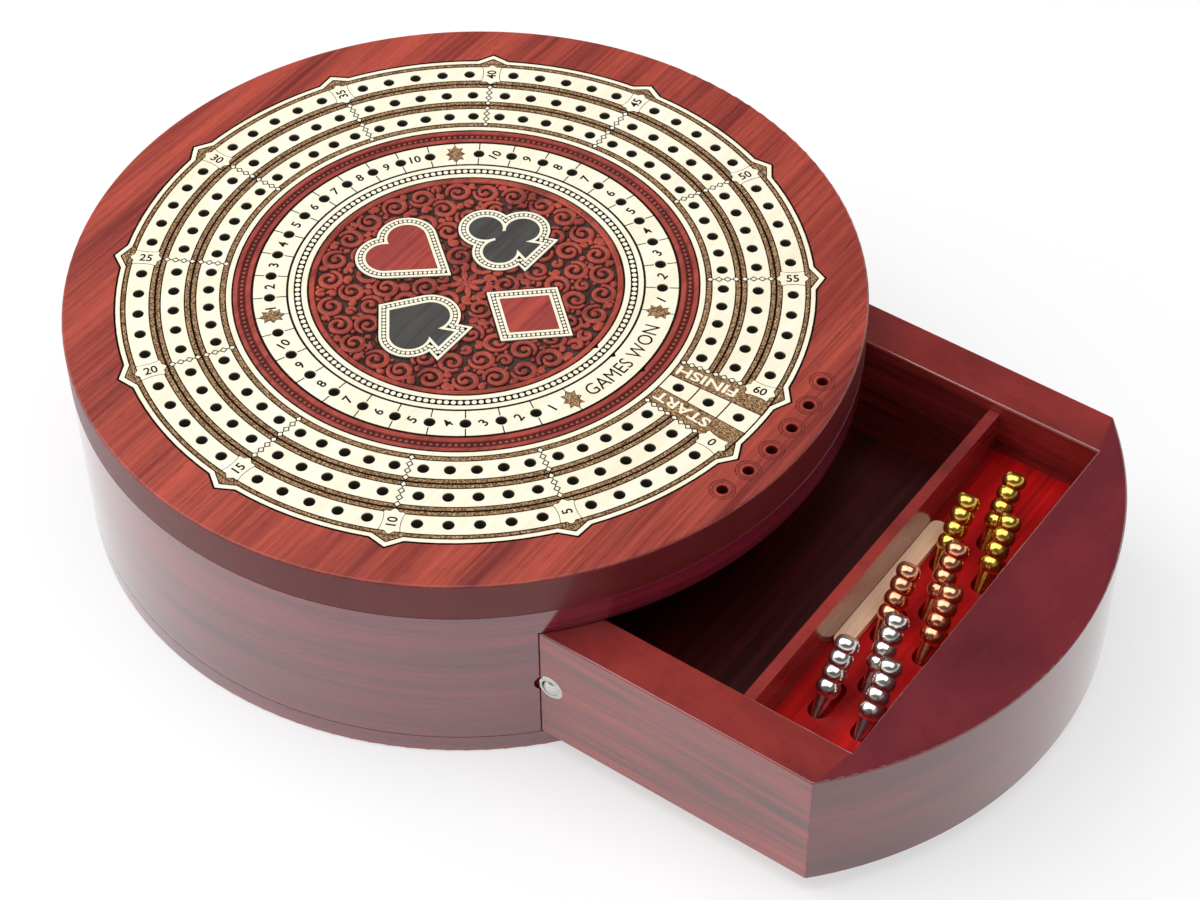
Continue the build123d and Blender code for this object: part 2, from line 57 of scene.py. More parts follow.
COLOUR_A, COLOUR_B, MIXED = 6, 7, 2  # where a Mix node takes its colours and gives the result
Pair = tuple[float, float]
Triple = tuple[float, float, float]
Outline = Sequence[Pair]  # corners in millimetres
RANGE = ("Value", "From Min", "From Max", "To Min", "To Max")  # inputs of a Map Range node


# ---------------------------------------------------------------- small tools


def linear(colour: str) -> tuple[float, float, float, float]:
    """Turns an sRGB hex colour into linear light.

    Args:
        colour: Six hex digits after a hash.

    Returns:
        Red, green, blue and an alpha of one.
    """
    parts = [int(colour[i : i + 2], 16) / 255 for i in (1, 3, 5)]
    light = [c / 12.92 if c <= 0.04045 else ((c + 0.055) / 1.055) ** 2.4 for c in parts]
    return (*light, 1.0)


def feed(tree: NodeTree, node: Node, inputs: dict) -> None:
    """Links or sets the inputs of a node.

    Args:
        tree: The node tree that holds it.
        node: The node.
        inputs: Sockets or values for its inputs, by name or number.
    """
    for key, value in inputs.items():
        if isinstance(value, NodeSocket):
            tree.links.new(value, node.inputs[key])
        else:
            node.inputs[key].default_value = value


def add_node(
    tree: NodeTree, kind: str, inputs: dict | None = None, stops: Sequence = (), **settings
) -> Node:
    """Adds a node with its settings and links.

    Args:
        tree: The node tree to grow.
        kind: Type name of the node after "ShaderNode".
        inputs: Sockets or values for the node's inputs, by name or number.
        stops: Places from 0 to 1 on a colour ramp, each with its hex colour.
        **settings: Plain attributes of the node.

    Returns:
        The new node.
    """
    node = tree.nodes.new("ShaderNode" + kind)
    for name, value in settings.items():
        setattr(node, name, value)
    if stops:
        elements = node.color_ramp.elements
        while len(elements) < len(stops):
            elements.new(1.0)
        for element, (place, colour) in zip(elements, stops):
            element.position = place
            element.color = linear(colour)
    feed(tree, node, inputs or {})
    return node


def new_material(name: str) -> tuple[Material, NodeTree, Node]:
    """Makes a material.

    Args:
        name: Name of the material.

    Returns:
        The material, its node tree and its shader.
    """
    material = bpy.data.materials.new(name)
    material.use_nodes = True
    tree = material.node_tree
    return material, tree, tree.nodes["Principled BSDF"]


def turned(angle: float, radius: float = 0.0, twist: float = 0.0) -> Matrix:
    """Places local work on the round face.

    Args:
        angle: Bearing of the spot from +X in degrees.
        radius: Distance of the spot from the centre.
        twist: Turn of the work about its own middle, on top of the bearing.

    Returns:
        The matrix from local to box axes.
    """
    bearing = Matrix.Rotation(math.radians(angle), 4, "Z")
    own = Matrix.Rotation(math.radians(twist), 4, "Z")
    return bearing @ Matrix.Translation((radius, 0, 0)) @ own


def spin(
    mesh: BMesh, parts: list, angle: float, steps: int, centre: Triple = (0, 0, 0), **options: bool
) -> None:
    """Spins parts of a mesh about an upright axis.

    Args:
        mesh: The mesh.
        parts: What is spun.
        angle: Turn in radians.
        steps: Number of steps in the turn.
        centre: A point of the axis.
        **options: Whether the operator merges the ends or copies the parts.
    """
    up = (0, 0, 1)
    bmesh.ops.spin(mesh, geom=parts, cent=centre, axis=up, angle=angle, steps=steps, **options)


def closed_line(mesh: BMesh, spots: Iterable[Sequence]) -> tuple[list[BMVert], list[BMEdge]]:
    """Adds a closed line to a mesh and returns its corners and edges."""
    verts = [mesh.verts.new(spot) for spot in spots]
    return verts, [mesh.edges.new(pair) for pair in zip(verts, verts[1:] + verts[:1])]


def bar(low: float, high: float, width: float) -> Outline:
    """Outline of a straight stroke along the radius."""
    half = width / 2
    return [(low, -half), (high, -half), (high, half), (low, half)]


def add_object(name: str, data: ID) -> Object:
    """Adds an object to the scene.

    Args:
        name: Name of the object.
        data: Its mesh, text, lamp or camera.

    Returns:
        The object.
    """
    made = bpy.data.objects.new(name, data)
    bpy.context.scene.collection.objects.link(made)
    return made


def add_mesh(mesh: BMesh, name: str, finish: Material) -> Object:
    """Adds an object from a mesh to the scene.

    Args:
        mesh: The mesh; it is freed.
        name: Name of the object.
        finish: Its material.

    Returns:
        The object.
    """
    data = bpy.data.meshes.new(name)
    mesh.to_mesh(data)
    mesh.free()
    data.materials.append(finish)
    return add_object(name, data)


# ---------------------------------------------------------------- finishes


@dataclass(frozen=True)
class Wood:
    """Planed and polished solid wood, whose figure, streaks and pores run with the grain.

    Attributes:
        name: Common name and how the surface was made.
        light: Colour of the early wood.
        dark: Colour of the late wood.
        pore: Colour of the open pores.
        stretch: How many times longer than wide the figure is along each axis.
        figure: Width of a colour streak.
        fleck: Width of a fine streak.
        pore_width: Width of a pore; real ones are near 0.1, drawn coarser so that they show.
        pores: Strength of the pores from 0 to 1.
        roughness: Roughness of the surface.
        coat: Weight of the clear lacquer.
        relief: Height of the grain's unevenness.
        groove: Colour of painted shade that darkens the wood below a height, in its holes, seats
            and hollows, or empty.
        groove_span: Heights at which the painted shade is full and gone.
        coat_index: Refractive index of the lacquer; several rubbed coats shine more.
        shine: Specular level of the bare wood.
        blend: Share of the fine streaks in the colour.
        tones: Noise values at which the dark and the light colour are full.
        opening: Noise values between closed grain and an open pore.
        soak: Strength of the painted shade at its deepest.
    """

    name: str
    light: str
    dark: str
    pore: str
    stretch: Triple = (1.0, 22.0, 1.0)
    figure: float = 7.0
    fleck: float = 1.3
    pore_width: float = 0.3
    pores: float = 0.5
    roughness: float = 0.36
    coat: float = 0.25
    relief: float = 0.03
    groove: str = ""
    groove_span: Pair = (68.1, 68.75)
    coat_index: float = 1.5
    shine: float = 0.35
    blend: float = 0.42
    tones: Pair = (0.36, 0.62)
    opening: Pair = (0.56, 0.68)
    soak: float = 0.92

    def streaks(
        self, tree: NodeTree, place: NodeSocket, width: float, detail: float, length: float = 1.0
    ) -> NodeSocket:
        """Noise drawn out along the grain.

        Args:
            tree: The node tree to grow.
            place: Object coordinates.
            width: Width of a streak in millimetres.
            detail: Octaves of finer noise.
            length: Factor on the streaks' length.

        Returns:
            The noise value.
        """
        scale = [1 / MM / width / (s * length if s > 1 else 1) for s in self.stretch]
        drawn = add_node(tree, "Mapping", {"Vector": place, "Scale": scale}).outputs[0]
        grain = {"Vector": drawn, "Scale": 1.0, "Detail": detail, "Roughness": 0.55}
        return add_node(tree, "TexNoise", {**grain, "Distortion": 0.35}).outputs["Fac"]

    def material(self) -> Material:
        """Builds the material.

        Returns:
            The material.
        """
        material, tree, shader = new_material(self.name)
        place = add_node(tree, "TexCoord").outputs["Object"]
        broad = self.streaks(tree, place, self.figure, 3.0)
        fine = self.streaks(tree, place, self.fleck, 4.0, 2.0)
        hole = self.streaks(tree, place, self.pore_width, 2.0)
        both = {"Factor": self.blend, "A": broad, "B": fine}
        streak = add_node(tree, "Mix", both, data_type="FLOAT").outputs[0]
        stops = tuple(zip(self.tones, (self.dark, self.light)))
        colour = add_node(tree, "ValToRGB", {"Fac": streak}, stops).outputs["Color"]
        limits = (hole, *self.opening, 0.0, self.pores)
        open_pore = add_node(tree, "MapRange", dict(zip(RANGE, limits))).outputs[0]
        overlays = [(open_pore, self.pore)]
        # painted shade: below a height the colour turns towards the dark tint, in place of the
        # shade in holes, seats and hollows
        if self.groove:
            height = add_node(tree, "SeparateXYZ", {"Vector": place}).outputs["Z"]
            limits = (height, *(z * MM for z in self.groove_span), self.soak, 0.0)
            soft = {"interpolation_type": "SMOOTHSTEP"}
            hollow_shade_share = add_node(tree, "MapRange", dict(zip(RANGE, limits)), **soft).outputs[0]
            overlays.append((hollow_shade_share, self.groove))
        for share, tint in overlays:
            both = {"Factor": share, COLOUR_A: colour, COLOUR_B: linear(tint)}
            colour = add_node(tree, "Mix", both, data_type="RGBA").outputs[MIXED]
        limits = (fine, 0.3, 0.7, self.roughness - 0.05, self.roughness + 0.07)
        gloss = add_node(tree, "MapRange", dict(zip(RANGE, limits))).outputs[0]
        grain = add_node(tree, "Math", {0: fine, 1: open_pore}, operation="SUBTRACT").outputs[0]
        uneven = {"Strength": 0.5, "Distance": self.relief * MM, "Height": grain}
        surface = {
            "Base Color": colour,
            "Roughness": gloss,
            "Normal": add_node(tree, "Bump", uneven).outputs[0],
            "Coat Weight": self.coat,
            "Coat Roughness": 0.12,
            "Coat IOR": self.coat_index,
            "Specular IOR Level": self.shine,
        }
        feed(tree, shader, surface)
        return material


@dataclass(frozen=True)
class Speckle:
    """Burnt or stippled wood: dull, and mottled at the size of one burnt stroke.

    Attributes:
        name: Common name and how the surface was made.
        stops: Places from 0 to 1 with their colours.
        grit: Size of a mottle in millimetres.
        roughness: Roughness of the surface.
        relief: Depth of the strokes.
        shine: Specular level; char hardly shines.
    """

    name: str
    stops: tuple[tuple[float, str], ...]
    grit: float = 0.5
    roughness: float = 0.6
    relief: float = 0.05
    shine: float = 0.08

    def material(self) -> Material:
        """Builds the material.

        Returns:
            The material.
        """
        material, tree, shader = new_material(self.name)
        place = add_node(tree, "TexCoord").outputs["Object"]
        mottle = {"Vector": place, "Scale": 1 / MM / self.grit, "Detail": 2.5, "Roughness": 0.6}
        noise = add_node(tree, "TexNoise", {**mottle, "Distortion": 0.8}).outputs["Fac"]
        strokes = {"Strength": 0.5, "Distance": self.relief * MM, "Height": noise}
        surface = {
            "Base Color": add_node(tree, "ValToRGB", {"Fac": noise}, self.stops).outputs["Color"],
            "Normal": add_node(tree, "Bump", strokes).outputs[0],
            "Roughness": self.roughness,
            "Specular IOR Level": self.shine,
        }
        feed(tree, shader, surface)
        return material


@dataclass(frozen=True)
class Metal:
    """Lathe-turned and polished metal with faint turning marks across its axis.

    Attributes:
        name: Common name and how the surface was made.
        colour: Colour of the polish.
        shade: Colour in the turning marks.
        roughness: Roughness of the surface.
        lean: Lean of the turned axis from +Z towards +Y in degrees.
        mark: Width of a turning mark in millimetres.
        run: How many times longer than wide a mark is.
        tones: Noise values at which the shade and the polish are full.
    """

    name: str
    colour: str
    shade: str
    roughness: float = 0.16
    lean: float = 0.0
    mark: float = 0.18
    run: float = 40.0
    tones: Pair = (0.32, 0.55)

    def material(self) -> Material:
        """Builds the material.

        Returns:
            The material.
        """
        material, tree, shader = new_material(self.name)
        place = add_node(tree, "TexCoord").outputs["Object"]
        upright = {"Vector": place, "Rotation": (math.radians(self.lean), 0, 0)}
        level = add_node(tree, "Mapping", upright, vector_type="POINT").outputs[0]
        fine = 1 / MM / self.mark
        marks = {"Vector": level, "Scale": (fine / self.run, fine / self.run, fine)}
        ring = add_node(tree, "Mapping", marks).outputs[0]
        turning = {"Vector": ring, "Scale": 1.0, "Detail": 2.0}
        noise = add_node(tree, "TexNoise", turning).outputs["Fac"]
        stops = tuple(zip(self.tones, (self.shade, self.colour)))
        wear = {"Value": noise, "To Min": self.roughness - 0.05, "To Max": self.roughness + 0.08}
        cuts = {"Strength": 0.15, "Distance": 0.01 * MM, "Height": noise}
        surface = {
            "Base Color": add_node(tree, "ValToRGB", {"Fac": noise}, stops).outputs["Color"],
            "Roughness": add_node(tree, "MapRange", wear).outputs[0],
            "Normal": add_node(tree, "Bump", cuts).outputs[0],
            "Metallic": 1.0,
        }
        feed(tree, shader, surface)
        return material


# brown-red board with long streaks under a thin satin lacquer, darker below the playing face:
# painted shade down in its holes and seats, and the same dark tint over its side
BOARD_WOOD = Wood(
    "bloodwood_planed_and_lacquered", "#b84c3a", "#762622", "#481414", figure=11.0, pores=0.4,
    roughness=0.4, coat=0.15, groove="#5c161c", groove_span=(68.3, 68.9),
)
# wine-red turned wall whose rubbed coats mirror the paper as a pale veil
DRUM_WOOD = Wood(
    "bloodwood_turned_and_polished", "#882436", "#4c1220", "#2e0a14", stretch=(14.0, 22.0, 1.0),
    figure=9.0, fleck=2.2, pores=0.2, roughness=0.2, coat=1.0, coat_index=1.85,
)
# red beads, with painted shade that turns the routed channel between them nearly black
BEAD_WOOD = Wood(
    "bloodwood_routed", "#b04a3c", "#84302a", "#4a1412", figure=4.0, roughness=0.42, coat=0.1,
    groove="#3a0f0e", groove_span=(68.55, 68.9),
)
# charred matt brown under the carving
GROUND_WOOD = Wood(
    "bloodwood_burnt_ground", "#55433c", "#33231e", "#1a0e0b", figure=3.0, roughness=0.7,
    coat=0.0, shine=0.1,
)
# brick-red tops with painted shade that darkens them to near-black towards their foot
CARVED_WOOD = Wood(
    "bloodwood_carved", "#b64a38", "#7e2c24", "#501614", figure=8.0, roughness=0.42, coat=0.1,
    groove="#240a08", groove_span=(68.2, 68.85),
)
# even satin red
RED_FILL = Wood(
    "bloodwood_inlaid_and_sanded", "#b4483c", "#842f30", "#561a1c", figure=5.0, roughness=0.44,
    coat=0.08,
)
# soft charcoal with fine grey streaks
BLACK_FILL = Wood(
    "blackwood_inlaid_and_sanded", "#4e4c49", "#3a3836", "#242322", figure=2.5, fleck=0.7,
    roughness=0.5, coat=0.05,
)
# creamy close-grained wood, with painted shade that darkens it down in its holes and seats
MAPLE = Wood(
    "maple_planed_and_lacquered", "#fbf6e3", "#f3e9cd", "#e2cfa6", figure=6.0, pores=0.25,
    roughness=0.45, coat=0.08, relief=0.015, groove="#120a07", groove_span=(68.5, 68.95),
)
# deep wine-red block, smooth and faintly clouded
FRONT_WOOD = Wood(
    "bloodwood_block_polished", "#78242c", "#50151f", "#2c0a12", stretch=(5.0, 11.0, 1.0),
    figure=9.0, fleck=1.8, pores=0.1, roughness=0.2, coat=1.0, coat_index=1.62,
)
# redder rails with a mirror-like edge
SIDE_WOOD = Wood(
    "bloodwood_rail_polished", "#a2322b", "#54161c", "#380e14", stretch=(12.0, 8.0, 1.0),
    figure=8.0, fleck=2.0, pores=0.15, roughness=0.24, coat=1.0, coat_index=1.7,
)
# dark red floor of the drawer, darkened further to near-black as painted shade
TRAY_WOOD = Wood(
    "bloodwood_panel_with_painted_shade", "#50080c", "#2c0306", "#180203", figure=8.0, roughness=0.4, coat=0.1,
)
# the one bright red, a stained floor for the pegs
RACK_WOOD = Wood(
    "bloodwood_rack_polished", "#c0080a", "#880406", "#500304", stretch=(1.0, 24.0, 1.0),
    figure=6.0, pores=0.2, roughness=0.34, coat=0.06, shine=0.2,
)
# peach-coloured strip with a low polish
PLATE_MAPLE = Wood(
    "maple_plate_polished", "#ffdcbe", "#f8c8a0", "#cc9468", figure=5.0, pores=0.3,
    roughness=0.35, coat=0.2,
)
# brown-black line of a hot pen
BURNT = Speckle("wood_burnt_line", ((0.3, "#100704"), (0.7, "#30170d")), grit=0.6, roughness=0.8)
# burnt through to soot, with no shine
SOOT = Speckle("wood_burnt_black", ((0.3, "#080504"), (0.75, "#1c100b")), roughness=0.85)
# short brown strokes with the pale wood between them
HATCHED = Speckle(
    "maple_burnt_hatching", ((0.36, "#2c180d"), (0.5, "#86603f"), (0.66, "#d4b88c")), grit=0.42,
    roughness=0.7,
)
# thin scratched ring, half of it dark
ENGRAVED_RED = Speckle(
    "bloodwood_scribed_line", ((0.3, "#481416"), (0.7, "#8a3a34")), grit=0.8, roughness=0.4
)
# bright grey ball that mirrors its surroundings
STEEL = Metal("steel_ball_polished", "#d4d2ce", "#b0aeaa", roughness=0.12)
# dull grey wire
SPRING_STEEL = Metal("spring_steel_drawn", "#9d9b97", "#7d7b78", roughness=0.3)
# plated pegs, each bead with one soft highlight and dark lines where beads meet
PEG = {"roughness": 0.2, "lean": 42.0}
SILVER = Metal("nickel_plate_turned", "#f4f1ec", "#d2cec8", **PEG)
COPPER = Metal("copper_plate_turned", "#f4ab88", "#d08560", **PEG)
GOLD = Metal("brass_turned_and_polished", "#ecc460", "#c99a40", **PEG)

FINISHES = {
    DRUM_WOOD: ("base_plate", "drum_body"),
    BOARD_WOOD: ("top_board",),
    RED_FILL: ("heart_fill", "diamond_fill"),
    BLACK_FILL: ("club_fill", "spade_fill"),
    GROUND_WOOD: ("medallion",),
    FRONT_WOOD: ("drawer_front",),
    SIDE_WOOD: ("drawer_side_near", "drawer_side_far", "drawer_back", "divider"),
    TRAY_WOOD: ("drawer_bottom",),
    RACK_WOOD: ("peg_rack",),
    PLATE_MAPLE: ("plate",),
    STEEL: ("catch_barrel", "catch_ball"),
    SPRING_STEEL: ("catch_spring",),
    SILVER: ("peg_silver_1", "peg_silver_2", "peg_silver_3"),
    COPPER: ("peg_copper_1", "peg_copper_2", "peg_copper_3"),
    GOLD: ("peg_gold_1", "peg_gold_2", "peg_gold_3"),
}


@dataclass
class Palette:
    """Materials that the inlay work shares: bare maple, burnt line, soot and hatching."""

    maple: Material = field(default_factory=MAPLE.material)
    ink: Material = field(default_factory=BURNT.material)
    soot: Material = field(default_factory=SOOT.material)
    hatch: Material = field(default_factory=HATCHED.material)


# ---------------------------------------------------------------- shared shapes


BUMP = [(-0.1, -1.7), (0.4, -0.8), (1.25, 0.0), (0.4, 0.8), (-0.1, 1.7)]  # point on a ring's line


class Layer(Enum):
    """Heights of the flat work's upper side over the playing face, each over what it covers."""

    HATCHING = 0.012
    BAND = 0.014
    LINE = 0.02
    TRACK_LINE = 0.024
    SUIT_BEAD = 0.026
    ORNAMENT = 0.028
    BARE_WOOD = 0.03
    NUMERAL = 0.036


class Reading(Enum):
    """Ways in which words and numerals stand on the round face."""

    OUTWARD = 0
    INWARD = 180


@dataclass
class Sheet:
    """Thin flat work that lies on the playing face: bands, plates, discs and letters.

    Attributes:
        layer: Layer of the work's upper side.
        mesh: The mesh in the making.
        step: Bearing in degrees that one straight piece of a band spans.
        ring_steps: Straight pieces in a small ring.
    """

    layer: Layer = Layer.LINE
    mesh: BMesh = field(default_factory=bmesh.new)
    step: float = 1.5
    ring_steps: int = 40
    thickness: float = 0.05

    @property
    def height(self) -> float:
        """Height of the work's upper side."""
        return FACE + self.layer.value

    def band(self, inner: float, outer: float, start: float = 0.0, sweep: float = 360.0) -> None:
        """Spins a radial edge into a flat band.

        Args:
            inner: Inner radius.
            outer: Outer radius.
            start: First bearing in degrees.
            sweep: Turn in degrees.
        """
        spot = turned(start)
        ends = [self.mesh.verts.new(spot @ Vector((r, 0, self.height))) for r in (inner, outer)]
        parts = [*ends, self.mesh.edges.new(ends)]
        steps = max(2, round(abs(sweep) / self.step))
        spin(self.mesh, parts, math.radians(sweep), steps, use_merge=sweep >= 360)

    def line(self, radius: float, width: float, start: float = 0.0, sweep: float = 360.0) -> None:
        """Draws a line of a width along a circle."""
        self.band(radius - width / 2, radius + width / 2, start, sweep)

    def circle(self, spot: Vector, radius: float, width: float) -> None:
        """Spins a thin ring round a spot.

        Args:
            spot: Middle of the ring.
            radius: Its middle radius.
            width: Width of its line.
        """
        reach = (radius - width / 2, radius + width / 2)
        ends = [self.mesh.verts.new((spot.x + r, spot.y, self.height)) for r in reach]
        parts = [*ends, self.mesh.edges.new(ends)]
        centre = (spot.x, spot.y, self.height)
        spin(self.mesh, parts, math.tau, self.ring_steps, centre, use_merge=True)

    def plate(self, corners: Outline, place: Matrix, copies: int = 1, pitch: float = 0.0) -> None:
        """Lays one flat shape, and copies of it round the centre.

        Args:
            corners: Outline in local axes, counterclockwise.
            place: Matrix from local to box axes.
            copies: How many shapes there are in all.
            pitch: Bearing between two copies in degrees.
        """
        verts = [self.mesh.verts.new(place @ Vector((x, y, self.height))) for x, y in corners]
        face = self.mesh.faces.new(verts)
        if copies > 1:
            last = copies - 1
            parts = [face, *face.edges, *verts]
            spin(self.mesh, parts, math.radians(pitch * last), last, use_duplicate=True)

    def disc(self, x: float, y: float, radius: float, sides: int = 12) -> None:
        """Lays a small round face.

        Args:
            x: Place of its middle along X.
            y: Place of its middle along Y.
            radius: Radius of the face.
            sides: Sides of its outline.
        """
        place = Matrix.Translation((x, y, self.height))
        bmesh.ops.create_circle(
            self.mesh, cap_ends=True, segments=sides, radius=radius, matrix=place
        )

    def between(self, outer: np.ndarray, inner: np.ndarray) -> None:
        """Fills the flat region between two closed outlines.

        Args:
            outer: The outer outline.
            inner: The inner one.
        """
        edges = []
        for loop in (outer, inner):
            edges += closed_line(self.mesh, ((x, y, self.height) for x, y in loop))[1]
        bmesh.ops.triangle_fill(self.mesh, use_beauty=True, edges=edges)

    def letters(
        self,
        words: str,
        width: float,
        height: float,
        place: Matrix,
        bold: float = 0.0,
        ring: float = 0.0,
    ) -> None:
        """Lays letters or numerals, middled on a spot.

        Args:
            words: What it says.
            width: Width of the words, or 0 to keep their proportion.
            height: Height of a capital.
            place: Matrix from the words' axes to box axes.
            bold: Growth of the strokes for letters one high.
            ring: Radius of the circle that the words follow, tops inward, or 0.
        """
        curve = bpy.data.curves.new("letters", "FONT")
        curve.body, curve.resolution_u, curve.offset = words, 3, bold
        text = add_object("letters", curve)
        graph = bpy.context.evaluated_depsgraph_get()
        flat = bpy.data.meshes.new_from_object(text.evaluated_get(graph))
        bpy.data.objects.remove(text)
        spots = np.array([v.co[:2] for v in flat.vertices])
        low, high = spots.min(0), spots.max(0)
        rise = height / (high[1] - low[1])
        spread = width / (high[0] - low[0]) if width else rise
        for vert in flat.vertices:
            x = (vert.co.x - (low[0] + high[0]) / 2) * spread
            y = (vert.co.y - (low[1] + high[1]) / 2) * rise
            if ring:
                angle, reach = x / ring, ring - y
                x, y = reach * math.cos(angle), reach * math.sin(angle)
            vert.co = place @ Vector((x, y, self.height))
        self.mesh.from_mesh(flat)
        bpy.data.meshes.remove(flat)

    def place(self, name: str, finish: Material, slot: str = "maple") -> Object:
        """Turns the work into a thin closed piece.

        Args:
            name: Name of the piece.
            finish: Its material.
            slot: Material slot of the record that it belongs to.

        Returns:
            The piece.
        """
        whole = self.mesh.faces[:]
        grown = bmesh.ops.extrude_face_region(self.mesh, geom=whole, use_keep_orig=True)["geom"]
        under = [v for v in grown if isinstance(v, BMVert)]
        bmesh.ops.translate(self.mesh, vec=(0, 0, -self.thickness), verts=under)
        bmesh.ops.recalc_face_normals(self.mesh, faces=self.mesh.faces)
        return place_mesh(self.mesh, name, slot, finish, smooth=False)


def place_mesh(
    mesh: BMesh, name: str, slot: str, finish: Material, smooth: bool = True, edge: float = 35.0
) -> Object:
    """Makes an object from a mesh in millimetres and lets it ride on the box.

    Args:
        mesh: The mesh; it is freed.
        name: Name of the piece.
        slot: Material slot of the record that it belongs to; not used.
        finish: Its material.
        smooth: Whether it is shaded smooth.
        edge: Angle in degrees over which an edge stays sharp.

    Returns:
        The piece.
    """
    bmesh.ops.scale(mesh, vec=(MM, MM, MM), verts=mesh.verts)
    for face in mesh.faces:
        face.smooth = smooth
    for rim in mesh.edges:
        sharp = len(rim.link_faces) == 2 and rim.calc_face_angle(0.0) > math.radians(edge)
        rim.smooth = not sharp
    piece = add_mesh(mesh, name, finish)
    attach(piece, "box")
    LOG.info("%s: %d faces", name, len(piece.data.polygons))
    return piece


def dress(nodes: Iterable[str], finish: Material) -> None:
    """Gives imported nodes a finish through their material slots.

    Args:
        nodes: Names of the nodes.
        finish: Their material.
    """
    for name in nodes:
        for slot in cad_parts[name].material_slots:
            slot.material = finish
        LOG.info("%s: dressed as %s", name, finish.name)


def top_outlines(node: str) -> list[np.ndarray]:
    """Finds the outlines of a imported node's upper face.

    Args:
        node: Name of the node, whose upper face lies in the playing face.

    Returns:
        Closed outlines in millimetres from their leftmost points, the longest first.
    """
    level, upright = (FACE - 0.01) * MM, 0.9
    mesh = bmesh.new()
    mesh.from_mesh(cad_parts[node].data)
    bmesh.ops.remove_doubles(mesh, verts=mesh.verts, dist=WELD)
    mesh.normal_update()
    below = [f for f in mesh.faces if f.normal.z < upright or f.calc_center_median().z < level]
    bmesh.ops.delete(mesh, geom=below, context="FACES")
    left = dict.fromkeys(e for e in mesh.edges if e.is_boundary)
    loops = []
    while left:
        edge = next(iter(left))
        del left[edge]
        first, vert = edge.verts
        loop = [first, vert]
        while vert is not first:
            edge = next((e for e in vert.link_edges if e in left), None)
            if edge is None:
                break
            del left[edge]
            vert = edge.other_vert(vert)
            loop.append(vert)
        outline = np.array([v.co[:2] for v in loop[:-1]]) / MM
        loops.append(np.roll(outline, -int(np.argmin(outline[:, 0])), 0))
    mesh.free()
    return sorted(loops, key=lambda l: -np.linalg.norm(np.roll(l, -1, 0) - l, axis=1).sum())


def spaced(loop: np.ndarray, pitch: float) -> np.ndarray:
    """Walks a closed outline in even steps.

    Args:
        loop: The outline.
        pitch: Wanted length of a step.

    Returns:
        The steps' places.
    """
    closed = np.vstack([loop, loop[:1]])
    run = np.concatenate([[0], np.cumsum(np.linalg.norm(np.diff(closed, axis=0), axis=1))])
    count = max(3, round(run[-1] / pitch))
    at = np.arange(count) * run[-1] / count
    return np.stack([np.interp(at, run, closed[:, i]) for i in (0, 1)], 1)


def moved_outline(
    loop: np.ndarray, distance: float, sharp: float = 0.3, step: float = 0.3, slack: float = 0.01
) -> np.ndarray:
    """Moves a closed outline square to itself, with sharp outer corners and clean inner ones.

    Args:
        loop: The outline.
        distance: How far it moves, outward if positive.
        sharp: Sine of the turn over which a corner keeps its point.
        step: Longest step along a side.
        slack: How much nearer than the distance a point may lie to the outline.

    Returns:
        The moved outline.
    """
    area = 0.5 * np.sum(loop[:, 0] * np.roll(loop[:, 1], -1) - np.roll(loop[:, 0], -1) * loop[:, 1])
    loop = loop if area > 0 else loop[::-1]
    along = np.roll(loop, -1, 0) - loop
    length = np.linalg.norm(along, axis=1, keepdims=True)
    along = along / length
    out = np.stack([along[:, 1], -along[:, 0]], 1)
    places = []
    for i, spot in enumerate(loop):
        before = out[i - 1]
        turn = before[0] * out[i][1] - before[1] * out[i][0]
        if turn * distance > sharp * abs(distance):
            places.append(spot + (before + out[i]) / (1 + before @ out[i]) * distance)
        for part in np.linspace(0, 1, max(2, int(length[i, 0] / step) + 1)):
            places.append(spot + along[i] * length[i] * part + out[i] * distance)
    places = np.array(places)
    reach = np.full(len(places), np.inf)
    for spot, way, span in zip(loop, along, length[:, 0]):
        off = places - spot
        part = np.clip(off @ way, 0, span)
        reach = np.minimum(reach, np.linalg.norm(off - part[:, None] * way, axis=1))
    return places[reach > abs(distance) - slack]


# ---------------------------------------------------------------- the round face


